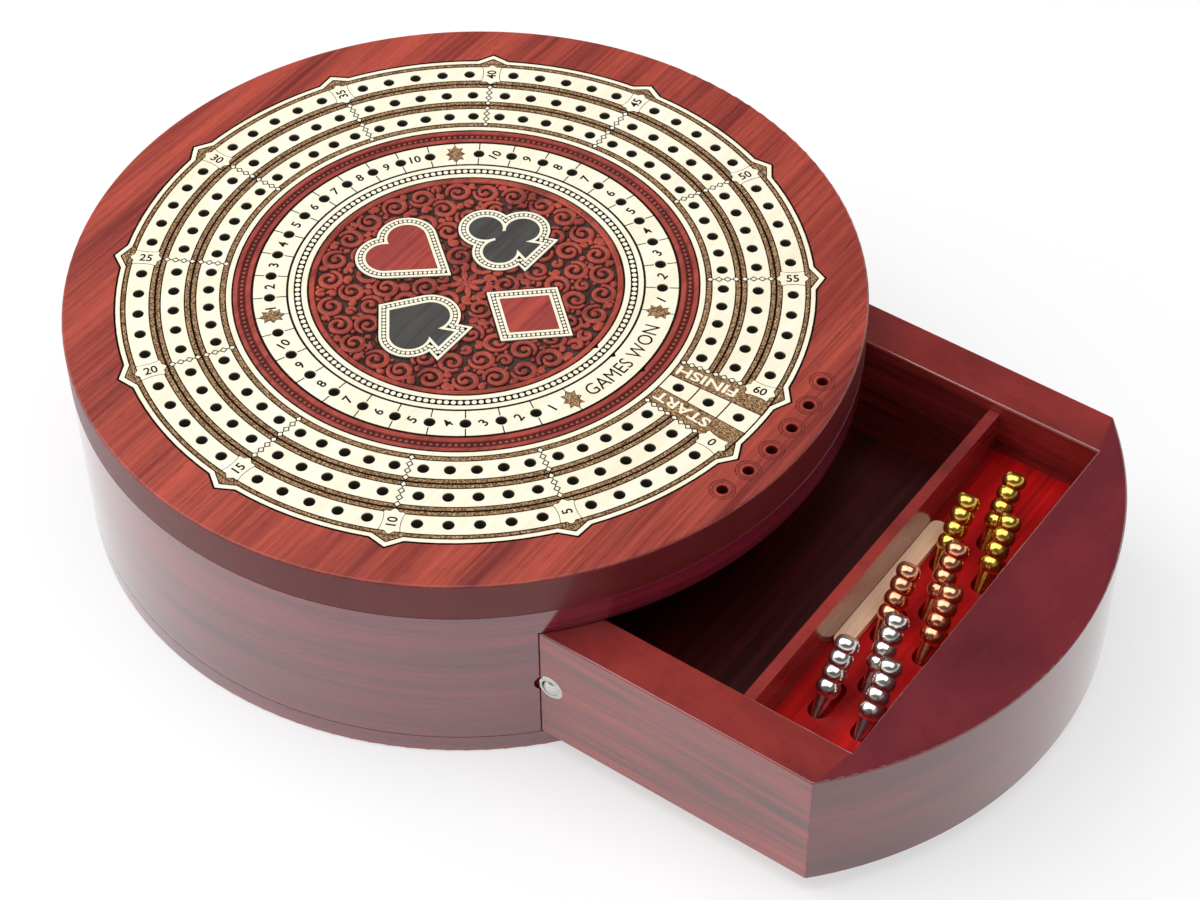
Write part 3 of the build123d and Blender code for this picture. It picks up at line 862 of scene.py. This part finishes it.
@dataclass
class TrackInlay:
    """Maple ring with three hole tracks: its burnt lines, hatched bands, markers and start.

    Attributes:
        lines: Radii of the thin dark lines between strips and hatching.
        hatches: Inner and outer radii of the hatched bands.
        gaps: Radii of the wide black lines between two hatched bands.
        first: Bearing of the first marker; the start zone spans its mirror image.
        pitch: Bearing between two markers.
        markers: Numbers of the markers in turn.
        half_way: Number over which a marker's number reads outward.
        numeral: Height and boldness of a marker's number.
        plaque: Quarter of a plaque's outline.
        frame: Growth of the dark plaque along and across the radius.
        wedge: Outline of the hatching that fills a point of the ring's edge.
        cell_half: Half of the bearing that the inner cells span.
        chain: Where a marker's chain of diamonds starts, its step and its count.
        links: Half sizes of the chain's dark and pale diamonds.
        rim: Distance of the outer line from the ring's edge.
        joint: Half width of the black joint along that edge.
        seat: Radius and width of the black joint inside.
        words: Words on the start zone with their width, bearing and radius.
        word: Height and boldness of these words.
    """

    lines: tuple[float, ...] = (68.25, 69.85, 76.6, 79.8, 86.6, 89.75, 96.45)
    line_width: float = 0.36
    hatches: tuple[Pair, ...] = (
        (68.3, 69.8), (76.65, 77.9), (78.5, 79.75), (86.65, 87.85), (88.4, 89.7), (96.5, 97.95),
    )
    gaps: tuple[float, ...] = (78.2, 88.12)
    gap_width: float = 0.62
    first: float = 7.35
    pitch: float = 28.775
    markers: tuple[int, ...] = tuple(range(60, -1, -5))
    half_way: int = 30
    marker_radius: float = 92.85
    numeral: Pair = (2.9, 0.02)
    plaque: Outline = (
        (4.5, 0.0), (4.15, 0.6), (3.6, 1.05), (3.35, 1.6), (3.5, 2.2), (3.25, 2.85), (1.8, 2.5),
        (0.0, 2.38),
    )
    frame: Pair = (1.05, 1.075)
    wedge: Outline = (
        (97.7, -4.1), (99.3, -1.7), (100.25, 0), (99.3, 1.7), (97.7, 4.1),
    )
    cell_edges: tuple[float, ...] = (68.35, 78.15, 88.0, 97.6)
    cell_half: float = 2.42
    cell_line: float = 0.4
    cell_bar: float = 0.28
    chain: tuple[float, float, int] = (69.4, 2.47, 8)
    links: tuple[Pair, ...] = ((1.28, 1.08), (0.78, 0.66))
    rim: float = 1.6
    joint: float = 0.3
    seat: Pair = (66.35, 0.5)
    words: tuple[tuple[str, float, float, float], ...] = (
        ("FINISH", 18.4, 4.75, 78.4), ("START", 18.2, -4.5, 78.7),
    )
    word: Pair = (3.5, 0.022)

    def __post_init__(self) -> None:
        """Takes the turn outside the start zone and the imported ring's own edge."""
        self.turn = 360 - 2 * self.first
        self.edge = top_outlines("track_inlay")[0]

    def outline(self) -> Outline:
        """Whole outline of a number plaque, mirrored from its quarter."""
        half = [*self.plaque, *((-x, y) for x, y in reversed(self.plaque[:-1]))]
        return half + [(x, -y) for x, y in reversed(half[1:-1])]

    def at_markers(self, sheet: Sheet, corners: Outline, radius: float) -> None:
        """Lays a flat shape at every marker, at a radius."""
        sheet.plate(corners, turned(self.first, radius), len(self.markers), self.pitch)

    def chain_diamonds(self, sheet: Sheet, radial: float, across: float) -> None:
        """Lays the diamonds of every marker's chain.

        Args:
            sheet: The work that they join.
            radial: Half length of a diamond along the radius.
            across: Half width of a diamond.
        """
        start, step, count = self.chain
        for i in range(count):
            rhomb = [(radial, 0), (0, across), (-radial, 0), (0, -across)]
            self.at_markers(sheet, rhomb, start + i * step)

    def lay_hatching(self, finish: Material) -> None:
        """Hatches the bands, the start zone and the points of the ring's edge.

        Args:
            finish: Finish of the hatching.
        """
        sheet = Sheet(Layer.HATCHING)
        for inner, outer in self.hatches:
            sheet.band(inner, outer, self.first, self.turn)
        reach = (self.hatches[0][0], self.hatches[-1][1])
        for side in (1, -1):
            sheet.band(*reach, side * self.cell_half, side * (self.first - self.cell_half))
        self.at_markers(sheet, self.wedge, 0)
        sheet.place("track_hatching", finish)

    def draw_lines(self, finish: Material) -> None:
        """Draws the burnt lines, the start cells and the dark edges of chains and plaques.

        Args:
            finish: Finish of the burnt lines.
        """
        sheet = Sheet(Layer.TRACK_LINE)
        for radius in self.lines:
            sheet.line(radius, self.line_width, self.first, self.turn)
        inner = moved_outline(self.edge, -self.rim - self.line_width)
        sheet.between(moved_outline(self.edge, -self.rim), inner)
        halves = (self.first, self.cell_half, self.cell_half, self.first)
        for radius, half in zip(self.cell_edges, halves):
            sheet.line(radius, self.cell_line, -half, 2 * half)
        for side in (1, -1):
            stroke = bar(self.cell_edges[0], self.cell_edges[-1], self.cell_bar)
            sheet.plate(stroke, turned(side * self.cell_half))
        self.chain_diamonds(sheet, *self.links[0])
        frame = [(x * self.frame[0], y * self.frame[1]) for x, y in self.outline()]
        self.at_markers(sheet, frame, self.marker_radius)
        sheet.place("track_lines", finish)

    def draw_joints(self, finish: Material) -> None:
        """Blackens the gaps between hatched bands and the joints along the ring's edges.

        Args:
            finish: Finish of the soot.
        """
        sheet = Sheet(Layer.LINE)
        for radius in self.gaps:
            sheet.line(radius, self.gap_width, self.first, self.turn)
        sheet.between(moved_outline(self.edge, self.joint), moved_outline(self.edge, -self.joint))
        sheet.line(*self.seat)
        sheet.place("track_joints", finish)

    def lay_words(self, finish: Material) -> None:
        """Lays the pale plaques, diamonds and words.

        Args:
            finish: Finish of the bare wood.
        """
        sheet = Sheet(Layer.BARE_WOOD)
        self.at_markers(sheet, self.outline(), self.marker_radius)
        self.chain_diamonds(sheet, *self.links[1])
        height, bold = self.word
        for words, width, bearing, radius in self.words:
            spot = turned(bearing, radius, Reading.INWARD.value)
            sheet.letters(words, width, height, spot, bold)
        sheet.place("track_plaques_and_words", finish)

    def lay_numerals(self, finish: Material) -> None:
        """Lays the markers' numbers, which turn over half way round.

        Args:
            finish: Finish of the numbers.
        """
        sheet = Sheet(Layer.NUMERAL)
        height, bold = self.numeral
        for i, number in enumerate(self.markers):
            reading = Reading.OUTWARD if number > self.half_way else Reading.INWARD
            spot = turned(self.first + i * self.pitch, self.marker_radius, reading.value)
            sheet.letters(str(number), 0, height, spot, bold)
        sheet.place("track_numerals", finish)

    def build(self, palette: Palette) -> None:
        """Builds all work on the ring.

        Args:
            palette: Materials of the inlay work.
        """
        self.lay_hatching(palette.hatch)
        self.draw_lines(palette.ink)
        self.draw_joints(palette.soot)
        self.lay_words(palette.maple)
        self.lay_numerals(palette.ink)


@dataclass
class ScoreInlay:
    """Maple ring with the games-won holes, their numerals, the words and four ornaments.

    Attributes:
        edges: Radii of the ring's edges.
        hole_gap: Half of a tick's gap round a hole.
        sets: Each set's middle bearing, step and sense, and whether its numerals are radial.
        numeral: Height and boldness of a numeral.
        words: Bearing that the words span in degrees, their height and their middle bearing.
        ornament_reach: Radii at which the ticks beside an ornament end.
        star: Half outline of an ornament.
        star_size: Half sizes of an ornament.
    """

    edges: Pair = (50.8, 60.8)
    edge_widths: Pair = (0.66, 0.76)
    hole_radius: float = 55.8
    hole_gap: float = 1.95
    tick: float = 0.34
    sets: tuple[tuple[float, float, int, bool], ...] = (
        (78.1, 10.05, 1, False), (180.0, 9.26, -1, True), (281.9, 10.05, -1, False),
    )
    holes: int = 10
    numeral: Pair = (3.0, 0.022)
    words: Triple = (33.0, 4.4, 0.15)
    ornaments: tuple[float, ...] = (22.6, -21.4, 130.5, -130.5)
    ornament_tick: float = 0.24
    ornament_reach: Pair = (52.4, 59.2)
    star: Outline = (
        (3.65, 0.0), (2.2, 0.85), (2.5, 2.15), (0.9, 1.55), (0.0, 2.65), (-0.9, 1.55),
        (-2.5, 2.15), (-2.2, 0.85), (-3.65, 0.0),
    )
    star_size: Pair = (3.6, 2.4)
    star_edge: float = 0.25

    def star_outline(self, growth: float) -> Outline:
        """Whole outline of an ornament.

        Args:
            growth: How much larger it is drawn.

        Returns:
            The outline.
        """
        long, wide = (1 + growth / size for size in self.star_size)
        half = [(x * long, y * wide) for x, y in self.star]
        return half + [(x, -y) for x, y in reversed(half[1:-1])]

    def number_holes(self, sheet: Sheet) -> None:
        """Draws each hole's ticks, and its number between it and the one before.

        Args:
            sheet: The work that they join.
        """
        inner, outer = self.edges
        ends = (self.hole_radius - self.hole_gap, self.hole_radius + self.hole_gap)
        ticks = ((inner, ends[0]), (ends[1], outer))
        height, bold = self.numeral
        for middle, step, way, radial in self.sets:
            for k in range(self.holes):
                angle = middle + way * (k - (self.holes - 1) / 2) * step
                for low, high in ticks:
                    sheet.plate(bar(low, high, self.tick), turned(angle))
                spot = turned(angle - way * step / 2, self.hole_radius)
                own = spot if radial else Matrix.Translation(spot.translation)
                quarter = Matrix.Rotation(math.pi / 2 * (-1 if radial else 1), 4, "Z")
                sheet.letters(str(k + 1), 0, height, own @ quarter, bold)

    def build(self, palette: Palette) -> None:
        """Builds the ring's lines, numerals, words and ornaments.

        Args:
            palette: Materials of the inlay work.
        """
        inner, outer = self.edges
        lines = Sheet(Layer.LINE)
        for radius, width in zip(self.edges, self.edge_widths):
            lines.line(radius, width)
        for radius in self.edges:
            lines.plate(BUMP, turned(0, radius))
        self.number_holes(lines)
        span, height, bearing = self.words
        width = math.radians(span) * self.hole_radius
        lines.letters("GAMES WON", width, height, turned(bearing), ring=self.hole_radius)
        ends = zip((inner, self.ornament_reach[1]), (self.ornament_reach[0], outer))
        strokes = [bar(low, high, self.ornament_tick) for low, high in ends]
        for angle in self.ornaments:
            lines.plate(self.star_outline(self.star_edge), turned(angle, self.hole_radius))
            for stroke in strokes:
                lines.plate(stroke, turned(angle))
        lines.place("score_lines_and_numerals", palette.ink)
        stars = Sheet(Layer.ORNAMENT)
        for angle in self.ornaments:
            stars.plate(self.star_outline(0.0), turned(angle, self.hole_radius))
        stars.place("score_ornaments", palette.hatch)


@dataclass
class BeadRing:
    """Bloodwood ring with a routed row of round beads between two raised strips.

    Attributes:
        profile: Section of the ring as radii and heights.
        bead_flat: Height of a bead over its width.
        bead_foot: Height under which a bead is cut away.
    """

    profile: Outline = (
        (60.85, 66.0), (60.85, 69.0), (62.5, 69.0), (62.75, 68.6), (62.95, 68.75), (63.1, 68.55),
        (64.35, 68.55), (64.5, 68.75), (64.7, 68.6), (64.95, 69.0), (66.3, 69.0), (66.3, 66.0),
    )
    steps: int = 180
    bead_circle: float = 63.72
    bead_height: float = 68.45
    bead_radius: float = 0.66
    bead_flat: float = 0.8
    bead_foot: float = 68.4
    beads: int = 235

    def build(self, finish: Material) -> None:
        """Spins the ring's section, sets the beads in its channel and stands them for the node.

        Args:
            finish: Finish of the routed wood.
        """
        mesh = bmesh.new()
        section, edges = closed_line(mesh, ((r, 0, z) for r, z in self.profile))
        spin(mesh, [*section, *edges], math.tau, self.steps, use_merge=True)
        bmesh.ops.recalc_face_normals(mesh, faces=mesh.faces)
        spot = Matrix.Translation((self.bead_circle, 0, self.bead_height))
        ball = bmesh.ops.create_uvsphere(
            mesh,
            u_segments=8,
            v_segments=6,
            radius=self.bead_radius,
            matrix=spot @ Matrix.Diagonal((1, 1, self.bead_flat, 1)),
        )["verts"]
        low = [v for v in ball if v.co.z < self.bead_foot]
        bmesh.ops.delete(mesh, geom=low, context="VERTS")
        ball = [v for v in ball if v.is_valid]
        links = [part for v in ball for part in (*v.link_edges, *v.link_faces)]
        last = self.beads - 1
        turn = math.tau * last / self.beads
        spin(mesh, [*ball, *dict.fromkeys(links)], turn, last, use_duplicate=True)
        piece = place_mesh(mesh, "beaded_ring", "bead_wood", finish)
        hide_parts("bead_ring")


@dataclass
class MedallionBorder:
    """Narrow maple ring with a row of pale beads on a burnt band.

    Attributes:
        inner: Inner radius of the ring.
        inset: Distance of its inner line from there.
        band: Radii of the burnt band.
    """

    inner: float = 44.9
    inset: float = 0.15
    line_width: float = 0.4
    band: Pair = (47.0, 48.8)
    bead_radius: float = 0.74
    beads: int = 158

    def build(self, palette: Palette) -> None:
        """Builds the band, its edges and its beads.

        Args:
            palette: Materials of the inlay work.
        """
        dark = Sheet(Layer.BAND)
        dark.band(*self.band)
        dark.place("border_band", palette.soot)
        edges = Sheet(Layer.LINE)
        for radius in (self.inner + self.inset, *self.band):
            edges.line(radius, self.line_width)
        edges.plate(BUMP, turned(0, self.inner))
        edges.place("border_lines", palette.ink)
        pale = Sheet(Layer.BARE_WOOD)
        middle = sum(self.band) / 2
        for i in range(self.beads):
            angle = math.tau * i / self.beads
            pale.disc(middle * math.cos(angle), middle * math.sin(angle), self.bead_radius)
        pale.place("border_beads", palette.maple)


@dataclass
class SuitInlays:
    """Four card suits: pale bands with a bead row round fills of red or black wood.

    Attributes:
        band: Distances of the dark band's edges from a fill's outline.
    """

    names: tuple[str, ...] = ("heart", "club", "diamond", "spade")
    band: Pair = (0.98, 2.32)
    bead_radius: float = 0.54
    bead_pitch: float = 1.32
    bead_sides: int = 10

    def build(self, palette: Palette) -> None:
        """Lays each suit's dark band and its beads along the fill's own outline.

        Args:
            palette: Materials of the inlay work.
        """
        dark, pale = Sheet(Layer.BAND), Sheet(Layer.SUIT_BEAD)
        for name in self.names:
            edge = top_outlines(f"{name}_fill")[0]
            dark.between(moved_outline(edge, self.band[1]), moved_outline(edge, self.band[0]))
            for x, y in spaced(moved_outline(edge, sum(self.band) / 2), self.bead_pitch):
                pale.disc(x, y, self.bead_radius, self.bead_sides)
        dark.place("suit_bands", palette.soot)
        pale.place("suit_beads", palette.maple)


@dataclass
class Carving:
    """Scrollwork in flat relief on the medallion, an own filling of curls that touch.

    Circles are packed into the half disc, the large ones along the rim first. Each becomes a
    scroll, a bud or a dot that turns against its neighbour, and the X axis mirrors them all.

    Attributes:
        rim: Inner and outer radius of the plain rim.
        ground: Height of the sunk ground.
        relief: Height of the work over the ground.
        bury: Depth of the relief's foot under the ground.
        pitch: Spacing of the surface's points.
        scroll: Radius of the largest scroll.
        strands: Width of a scroll's strand, radius of its eye and distance of its turns, for
            large scrolls and for small ones.
        large: Radius over which a scroll is large.
        bud: Radius of the largest bud.
        dots: Radii of the smallest and the largest dot.
        flower: Radius that the middle flower keeps clear.
        petal: Where a petal starts, and the lengths of a short and a long one.
        lap: How far circles may reach under the rim and over the mirror's line.
        near: Radius over which a neighbour draws a curl, and how much nearer it then counts.
        slope: Width of a strand's sloping side.
        crown: Share of the height that a strand's middle rises over its sides.
        margin: Width that is kept clear round a suit.
    """

    rim: Pair = (42.9, 44.8)
    ground: float = 68.0
    relief: float = 0.97
    bury: float = 0.02
    pitch: float = 0.22
    scroll: float = 4.0
    strands: tuple[Triple, ...] = ((1.75, 0.8, 2.35), (1.5, 0.6, 2.0))
    large: float = 2.6
    bud: float = 1.75
    dots: Pair = (0.5, 0.8)
    flower: float = 5.0
    petals: int = 8
    petal: Triple = (1.5, 3.1, 4.2)
    lap: Pair = (0.1, 0.25)
    near: Pair = (1.6, 1.5)
    slope: float = 0.34
    crown: float = 0.16
    margin: float = 0.45

    def __post_init__(self) -> None:
        """Lays the grid on which the heights are worked out."""
        self.count = int(self.rim[1] / self.pitch) + 1
        self.axis = np.arange(-self.count, self.count + 1) * self.pitch
        self.x, self.y = np.meshgrid(self.axis, self.axis)
        self.radius = np.hypot(self.x, self.y)
        self.height = np.zeros(self.x.shape)

    def circles(self) -> list[Triple]:
        """Packs circles into the upper half of the disc, always the largest that fits.

        Returns:
            Middle and radius of each circle.
        """
        room = np.minimum(self.rim[0] + self.lap[0] - self.radius, self.radius - self.flower)
        room = np.minimum(room, self.y + self.lap[1])
        found = []
        while (size := min(room.max(), self.scroll)) >= self.dots[0]:
            spots = tuple(np.argwhere(room >= size).T)
            best = np.argmax(self.radius[spots] - 0.02 * self.x[spots])  # of equals, the left one
            at = (spots[0][best], spots[1][best])
            spot = (float(self.x[at]), float(self.y[at]), float(size))
            found.append(spot)
            room = np.minimum(room, np.hypot(self.x - spot[0], self.y - spot[1]) - size)
        return found

    @staticmethod
    def strand(
        spot: Sequence[float], reach: np.ndarray, turn: np.ndarray | float, half: np.ndarray
    ) -> np.ndarray:
        """Points of a strand round a spot, from their distances and bearings, with half widths."""
        x, y = spot[0] + reach * np.cos(turn), spot[1] + reach * np.sin(turn)
        return np.stack([x, y, half], 1)

    def curl(self, spot: Triple, start: float, way: int) -> np.ndarray:
        """Draws what fills one circle.

        Args:
            spot: Middle and radius of the circle.
            start: Bearing in radians at which it touches its neighbour.
            way: Turning sense, 1 or -1.

        Returns:
            Points of the strand with its half width at each.
        """
        x, y, size = spot
        if size <= self.dots[1]:
            return np.array([[x, y, size - 0.05]])
        if size <= self.bud:  # a comma that thins towards its neighbour
            run = np.linspace(0, 1, 18)
            half = (size - 0.28) * (1 - run) ** 0.7 * 0.95 + 0.25
            return self.strand(spot, size * 1.5 * run, start + way * 1.5 * (1 - run), half)
        wide, eye, gap = self.strands[0 if size > self.large else 1]
        outer = size - wide / 2 + self.lap[0]
        turns = (outer - eye) / gap + 0.3
        run = np.linspace(0, 1, int(turns * 36))
        reach = outer + (eye - outer) * np.clip((run - 0.34) / 0.66, 0, 1)
        half = wide / 2 * (0.62 + 0.38 * np.sin(np.pi * np.clip(run / 0.75, 0, 1)))
        strand = self.strand(spot, reach, start + way * math.tau * turns * run, half)
        end = strand[-1, :2] * 0.6 + np.array([x, y]) * 0.4
        return np.vstack([strand, [*end, wide * 0.54]])

    def stamp(self, strand: np.ndarray) -> None:
        """Raises the surface along a strand, rounded across its width.

        Args:
            strand: Points of the strand with its half width at each.
        """
        for x, y, half in strand:
            reach = half + 2 * self.slope
            rows = slice(*np.searchsorted(self.axis, (y - reach, y + reach)))
            columns = slice(*np.searchsorted(self.axis, (x - reach, x + reach)))
            off = np.hypot(self.x[rows, columns] - x, self.y[rows, columns] - y)
            rise = np.clip((half + self.slope / 2 - off) / self.slope, 0, 1)
            round_top = 1 - self.crown + self.crown * np.clip(1 - (off / half) ** 2, 0, 1)
            rise = rise * rise * (3 - 2 * rise) * round_top
            self.height[rows, columns] = np.maximum(self.height[rows, columns], rise)

    def raise_scrolls(self) -> None:
        """Raises the scrolls, buds and dots and their mirror images."""
        found, ways = self.circles(), []
        over, pull = self.near
        for i, spot in enumerate(found):
            gaps = [
                math.dist(spot[:2], c[:2]) - spot[2] - c[2] - (pull if c[2] > over else 0)
                for c in found[:i]
            ]
            near = int(np.argmin(gaps)) if gaps else 0
            ways.append(-ways[near] if gaps else 1)
            toward = np.subtract(found[near][:2], spot[:2]) if gaps else np.array(spot[:2])
            strand = self.curl(spot, math.atan2(toward[1], toward[0]), ways[-1])
            self.stamp(strand)
            self.stamp(strand * (1, -1, 1))

    def raise_flower(self) -> None:
        """Raises the eight-petalled flower in the middle."""
        run = np.linspace(0, 1, 12)
        half = 0.25 + 0.72 * np.sin(np.pi * (run * 0.9 + 0.1)) ** 0.8
        start, *lengths = self.petal
        for k in range(self.petals):
            bearing = math.tau * k / self.petals
            self.stamp(self.strand((0, 0), start + lengths[k % 2] * run, bearing, half))
        self.stamp(np.array([[0.0, 0.0, 1.1]]))

    def inside(self, loop: np.ndarray) -> np.ndarray:
        """Tells which points of the grid an outline holds.

        Args:
            loop: The outline.

        Returns:
            Whether it holds each point.
        """
        held = np.zeros(self.x.shape, bool)
        for a, b in zip(loop, np.roll(loop, -1, 0)):
            if a[1] != b[1]:
                cut = (b[0] - a[0]) * (self.y - a[1]) / (b[1] - a[1]) + a[0]
                held ^= ((a[1] > self.y) != (b[1] > self.y)) & (self.x < cut)
        return held

    def build(self, finish: Material, suits: tuple[str, ...]) -> None:
        """Works out the relief, clears it under the suits and makes it.

        Args:
            finish: Finish of the carved wood.
            suits: Names of the suits that lie in it.
        """
        self.raise_scrolls()
        self.raise_flower()
        for suit in suits:
            edge = spaced(top_outlines(f"{suit}_border")[0], 0.5)
            self.height[self.inside(moved_outline(edge, self.margin))] = 0
        plain = np.clip((self.radius - self.rim[0]) / self.slope, 0, 1)
        self.height = np.where(self.radius < self.rim[1], np.maximum(self.height, plain), 0)
        wide, size = np.pad(self.height, 1), len(self.axis)
        shifts = [(i, j) for i in range(3) for j in range(3)]
        near = np.max([wide[i : i + size, j : j + size] for i, j in shifts], 0)
        near[self.radius > self.rim[1]] = 0
        mesh = bmesh.new()
        cells, half = size - 1, self.count * self.pitch
        bmesh.ops.create_grid(mesh, x_segments=cells, y_segments=cells, size=half)
        flat = []
        for vert in mesh.verts:
            at = tuple(round(vert.co[axis] / self.pitch) + self.count for axis in (1, 0))
            vert.co.z = self.ground - self.bury + (self.relief + self.bury) * self.height[at]
            if near[at] < 0.01:
                flat.append(vert)
        bmesh.ops.delete(mesh, geom=flat, context="VERTS")
        place_mesh(mesh, "medallion_relief", "carved_wood", finish, edge=75)


@dataclass
class TopBoard:
    """Bloodwood board: the scribed rings round its spare holes."""

    hole_circle: float = 106.9
    holes: int = 6
    step: float = 5.34
    rings: tuple[float, ...] = (2.75, 3.5)
    line_width: float = 0.34

    def build(self, finish: Material) -> None:
        """Scribes the rings.

        Args:
            finish: Finish of a scribed line.
        """
        sheet = Sheet(Layer.HATCHING)
        for k in range(self.holes):
            spot = turned((k - (self.holes - 1) / 2) * self.step, self.hole_circle).translation
            for radius in self.rings:
                sheet.circle(spot, radius, self.line_width)
        sheet.place("spare_hole_rings", finish, "board_wood")


# ---------------------------------------------------------------- studio


@dataclass
class Studio:
    """Pale floor, soft lamps and the camera at the photograph's angle.

    Attributes:
        place: Where the camera stands, in metres.
        forward: Way it looks.
        right: Its level right-hand way.
        roll: Its roll in degrees.
        lens: Focal length in millimetres.
        sensor: Width of the sensor in millimetres.
        clip: Nearest and furthest distance that it sees, in metres.
        paper_glow: Share of the floor that shows as plain white paper.
        floor_size: Half of the floor's side in metres.
        lamps: Name, place, side and power of each square lamp, in metres and watts.
        target: What the lamps face, in metres.
        rise: Heights of the way up at which the world's light starts and ends its change.
        horizon: Strength of the light from the level.
        zenith: Strength of the light from above.
    """

    place: Triple = (0.3823, -0.4674, 0.6349)
    forward: Triple = (-0.40154, 0.55879, -0.72562)
    right: Triple = (0.81208, 0.58354, 0.0)
    roll: float = -0.38
    lens: float = 87.10
    sensor: float = 36.0
    clip: Pair = (0.01, 50.0)
    paper_glow: float = 0.58
    floor_size: float = 4.0
    lamps: tuple[tuple[str, Triple, float, float], ...] = (
        ("key", (-0.8, -0.3, 1.2), 1.4, 17.5), ("fill", (0.35, 0.05, 1.5), 1.2, 11.0),
    )
    target: Triple = (0.03, 0, 0.05)
    rise: Pair = (0.15, 0.5)
    horizon: float = 1.2
    zenith: float = 0.1

    def camera(self) -> None:
        """Makes the scene's camera."""
        data = bpy.data.cameras.new("camera")
        data.lens, data.sensor_width = self.lens, self.sensor
        data.clip_start, data.clip_end = self.clip
        camera = add_object("camera", data)
        forward, right = Vector(self.forward).normalized(), Vector(self.right).normalized()
        up = right.cross(forward)
        roll = math.radians(self.roll)
        side = math.cos(roll) * right + math.sin(roll) * up
        top = -math.sin(roll) * right + math.cos(roll) * up
        turn = Matrix((side, top, -forward)).transposed().to_4x4()
        camera.matrix_world = Matrix.Translation(self.place) @ turn
        bpy.context.scene.camera = camera

    def lamp(self, name: str, place: Triple, size: float, power: float) -> None:
        """Hangs a square soft lamp that faces the box.

        Args:
            name: Name of the lamp.
            place: Where it hangs, in metres.
            size: Side of its square in metres.
            power: Its power in watts.
        """
        data = bpy.data.lights.new(name, "AREA")
        data.size, data.energy = size, power
        lamp = add_object(name, data)
        lamp.location = place
        lamp.rotation_mode = "QUATERNION"
        lamp.rotation_quaternion = (Vector(self.target) - Vector(place)).to_track_quat("-Z", "Y")

    def floor(self) -> None:
        """Lays the pale floor."""
        material, tree, shader = new_material("paper_floor")
        white = linear("#ffffff")
        feed(tree, shader, {"Base Color": white, "Roughness": 0.9})
        path = add_node(tree, "LightPath").outputs
        either = {0: path["Is Camera Ray"], 1: path["Is Glossy Ray"]}
        seen = add_node(tree, "Math", either, operation="MAXIMUM").outputs[0]
        glowing = {0: seen, 1: self.paper_glow}
        share = add_node(tree, "Math", glowing, operation="MULTIPLY").outputs[0]
        glow = add_node(tree, "Emission", {"Color": white, "Strength": 1.0}).outputs[0]
        blend = add_node(tree, "MixShader", {0: share, 1: shader.outputs[0], 2: glow}).outputs[0]
        feed(tree, tree.nodes["Material Output"], {"Surface": blend})
        mesh = bmesh.new()
        bmesh.ops.create_grid(mesh, x_segments=1, y_segments=1, size=self.floor_size)
        plane = add_mesh(mesh, "floor", material)

    def world(self) -> None:
        """Sets the even light all round, white to the camera."""
        world = bpy.data.worlds.new("studio")
        world.use_nodes = True
        bpy.context.scene.world = world
        tree = world.node_tree
        way = add_node(tree, "TexCoord").outputs["Generated"]
        up = add_node(tree, "SeparateXYZ", {"Vector": way}).outputs["Z"]
        limits = (up, *self.rise, self.horizon, self.zenith)
        sky = add_node(tree, "MapRange", dict(zip(RANGE, limits))).outputs[0]
        seen = add_node(tree, "LightPath").outputs["Is Camera Ray"]
        both = {"Factor": seen, "A": sky, "B": 1.0}
        level = add_node(tree, "Mix", both, data_type="FLOAT").outputs[0]
        feed(tree, tree.nodes["Background"], {"Color": linear("#ffffff"), "Strength": level})

    def build(self) -> None:
        """Builds the studio."""
        self.camera()
        self.floor()
        self.world()
        for lamp in self.lamps:
            self.lamp(*lamp)
        bpy.context.scene.view_settings.view_transform = "Standard"


def main() -> None:
    """Builds the studio and every sub-assembly in turn."""
    logging.basicConfig(level=logging.INFO, format="%(name)s: %(message)s")
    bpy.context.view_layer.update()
    Studio().build()
    palette, suits = Palette(), SuitInlays()
    borders = [f"{name}_border" for name in suits.names]
    dress(["track_inlay", "score_inlay", "medallion_border", *borders], palette.maple)
    for finish, nodes in FINISHES.items():
        dress(nodes, finish.material())
    TrackInlay().build(palette)
    ScoreInlay().build(palette)
    BeadRing().build(BEAD_WOOD.material())
    MedallionBorder().build(palette)
    suits.build(palette)
    Carving().build(CARVED_WOOD.material(), suits.names)
    TopBoard().build(ENGRAVED_RED.material())


if __name__ == "__main__":
    main()
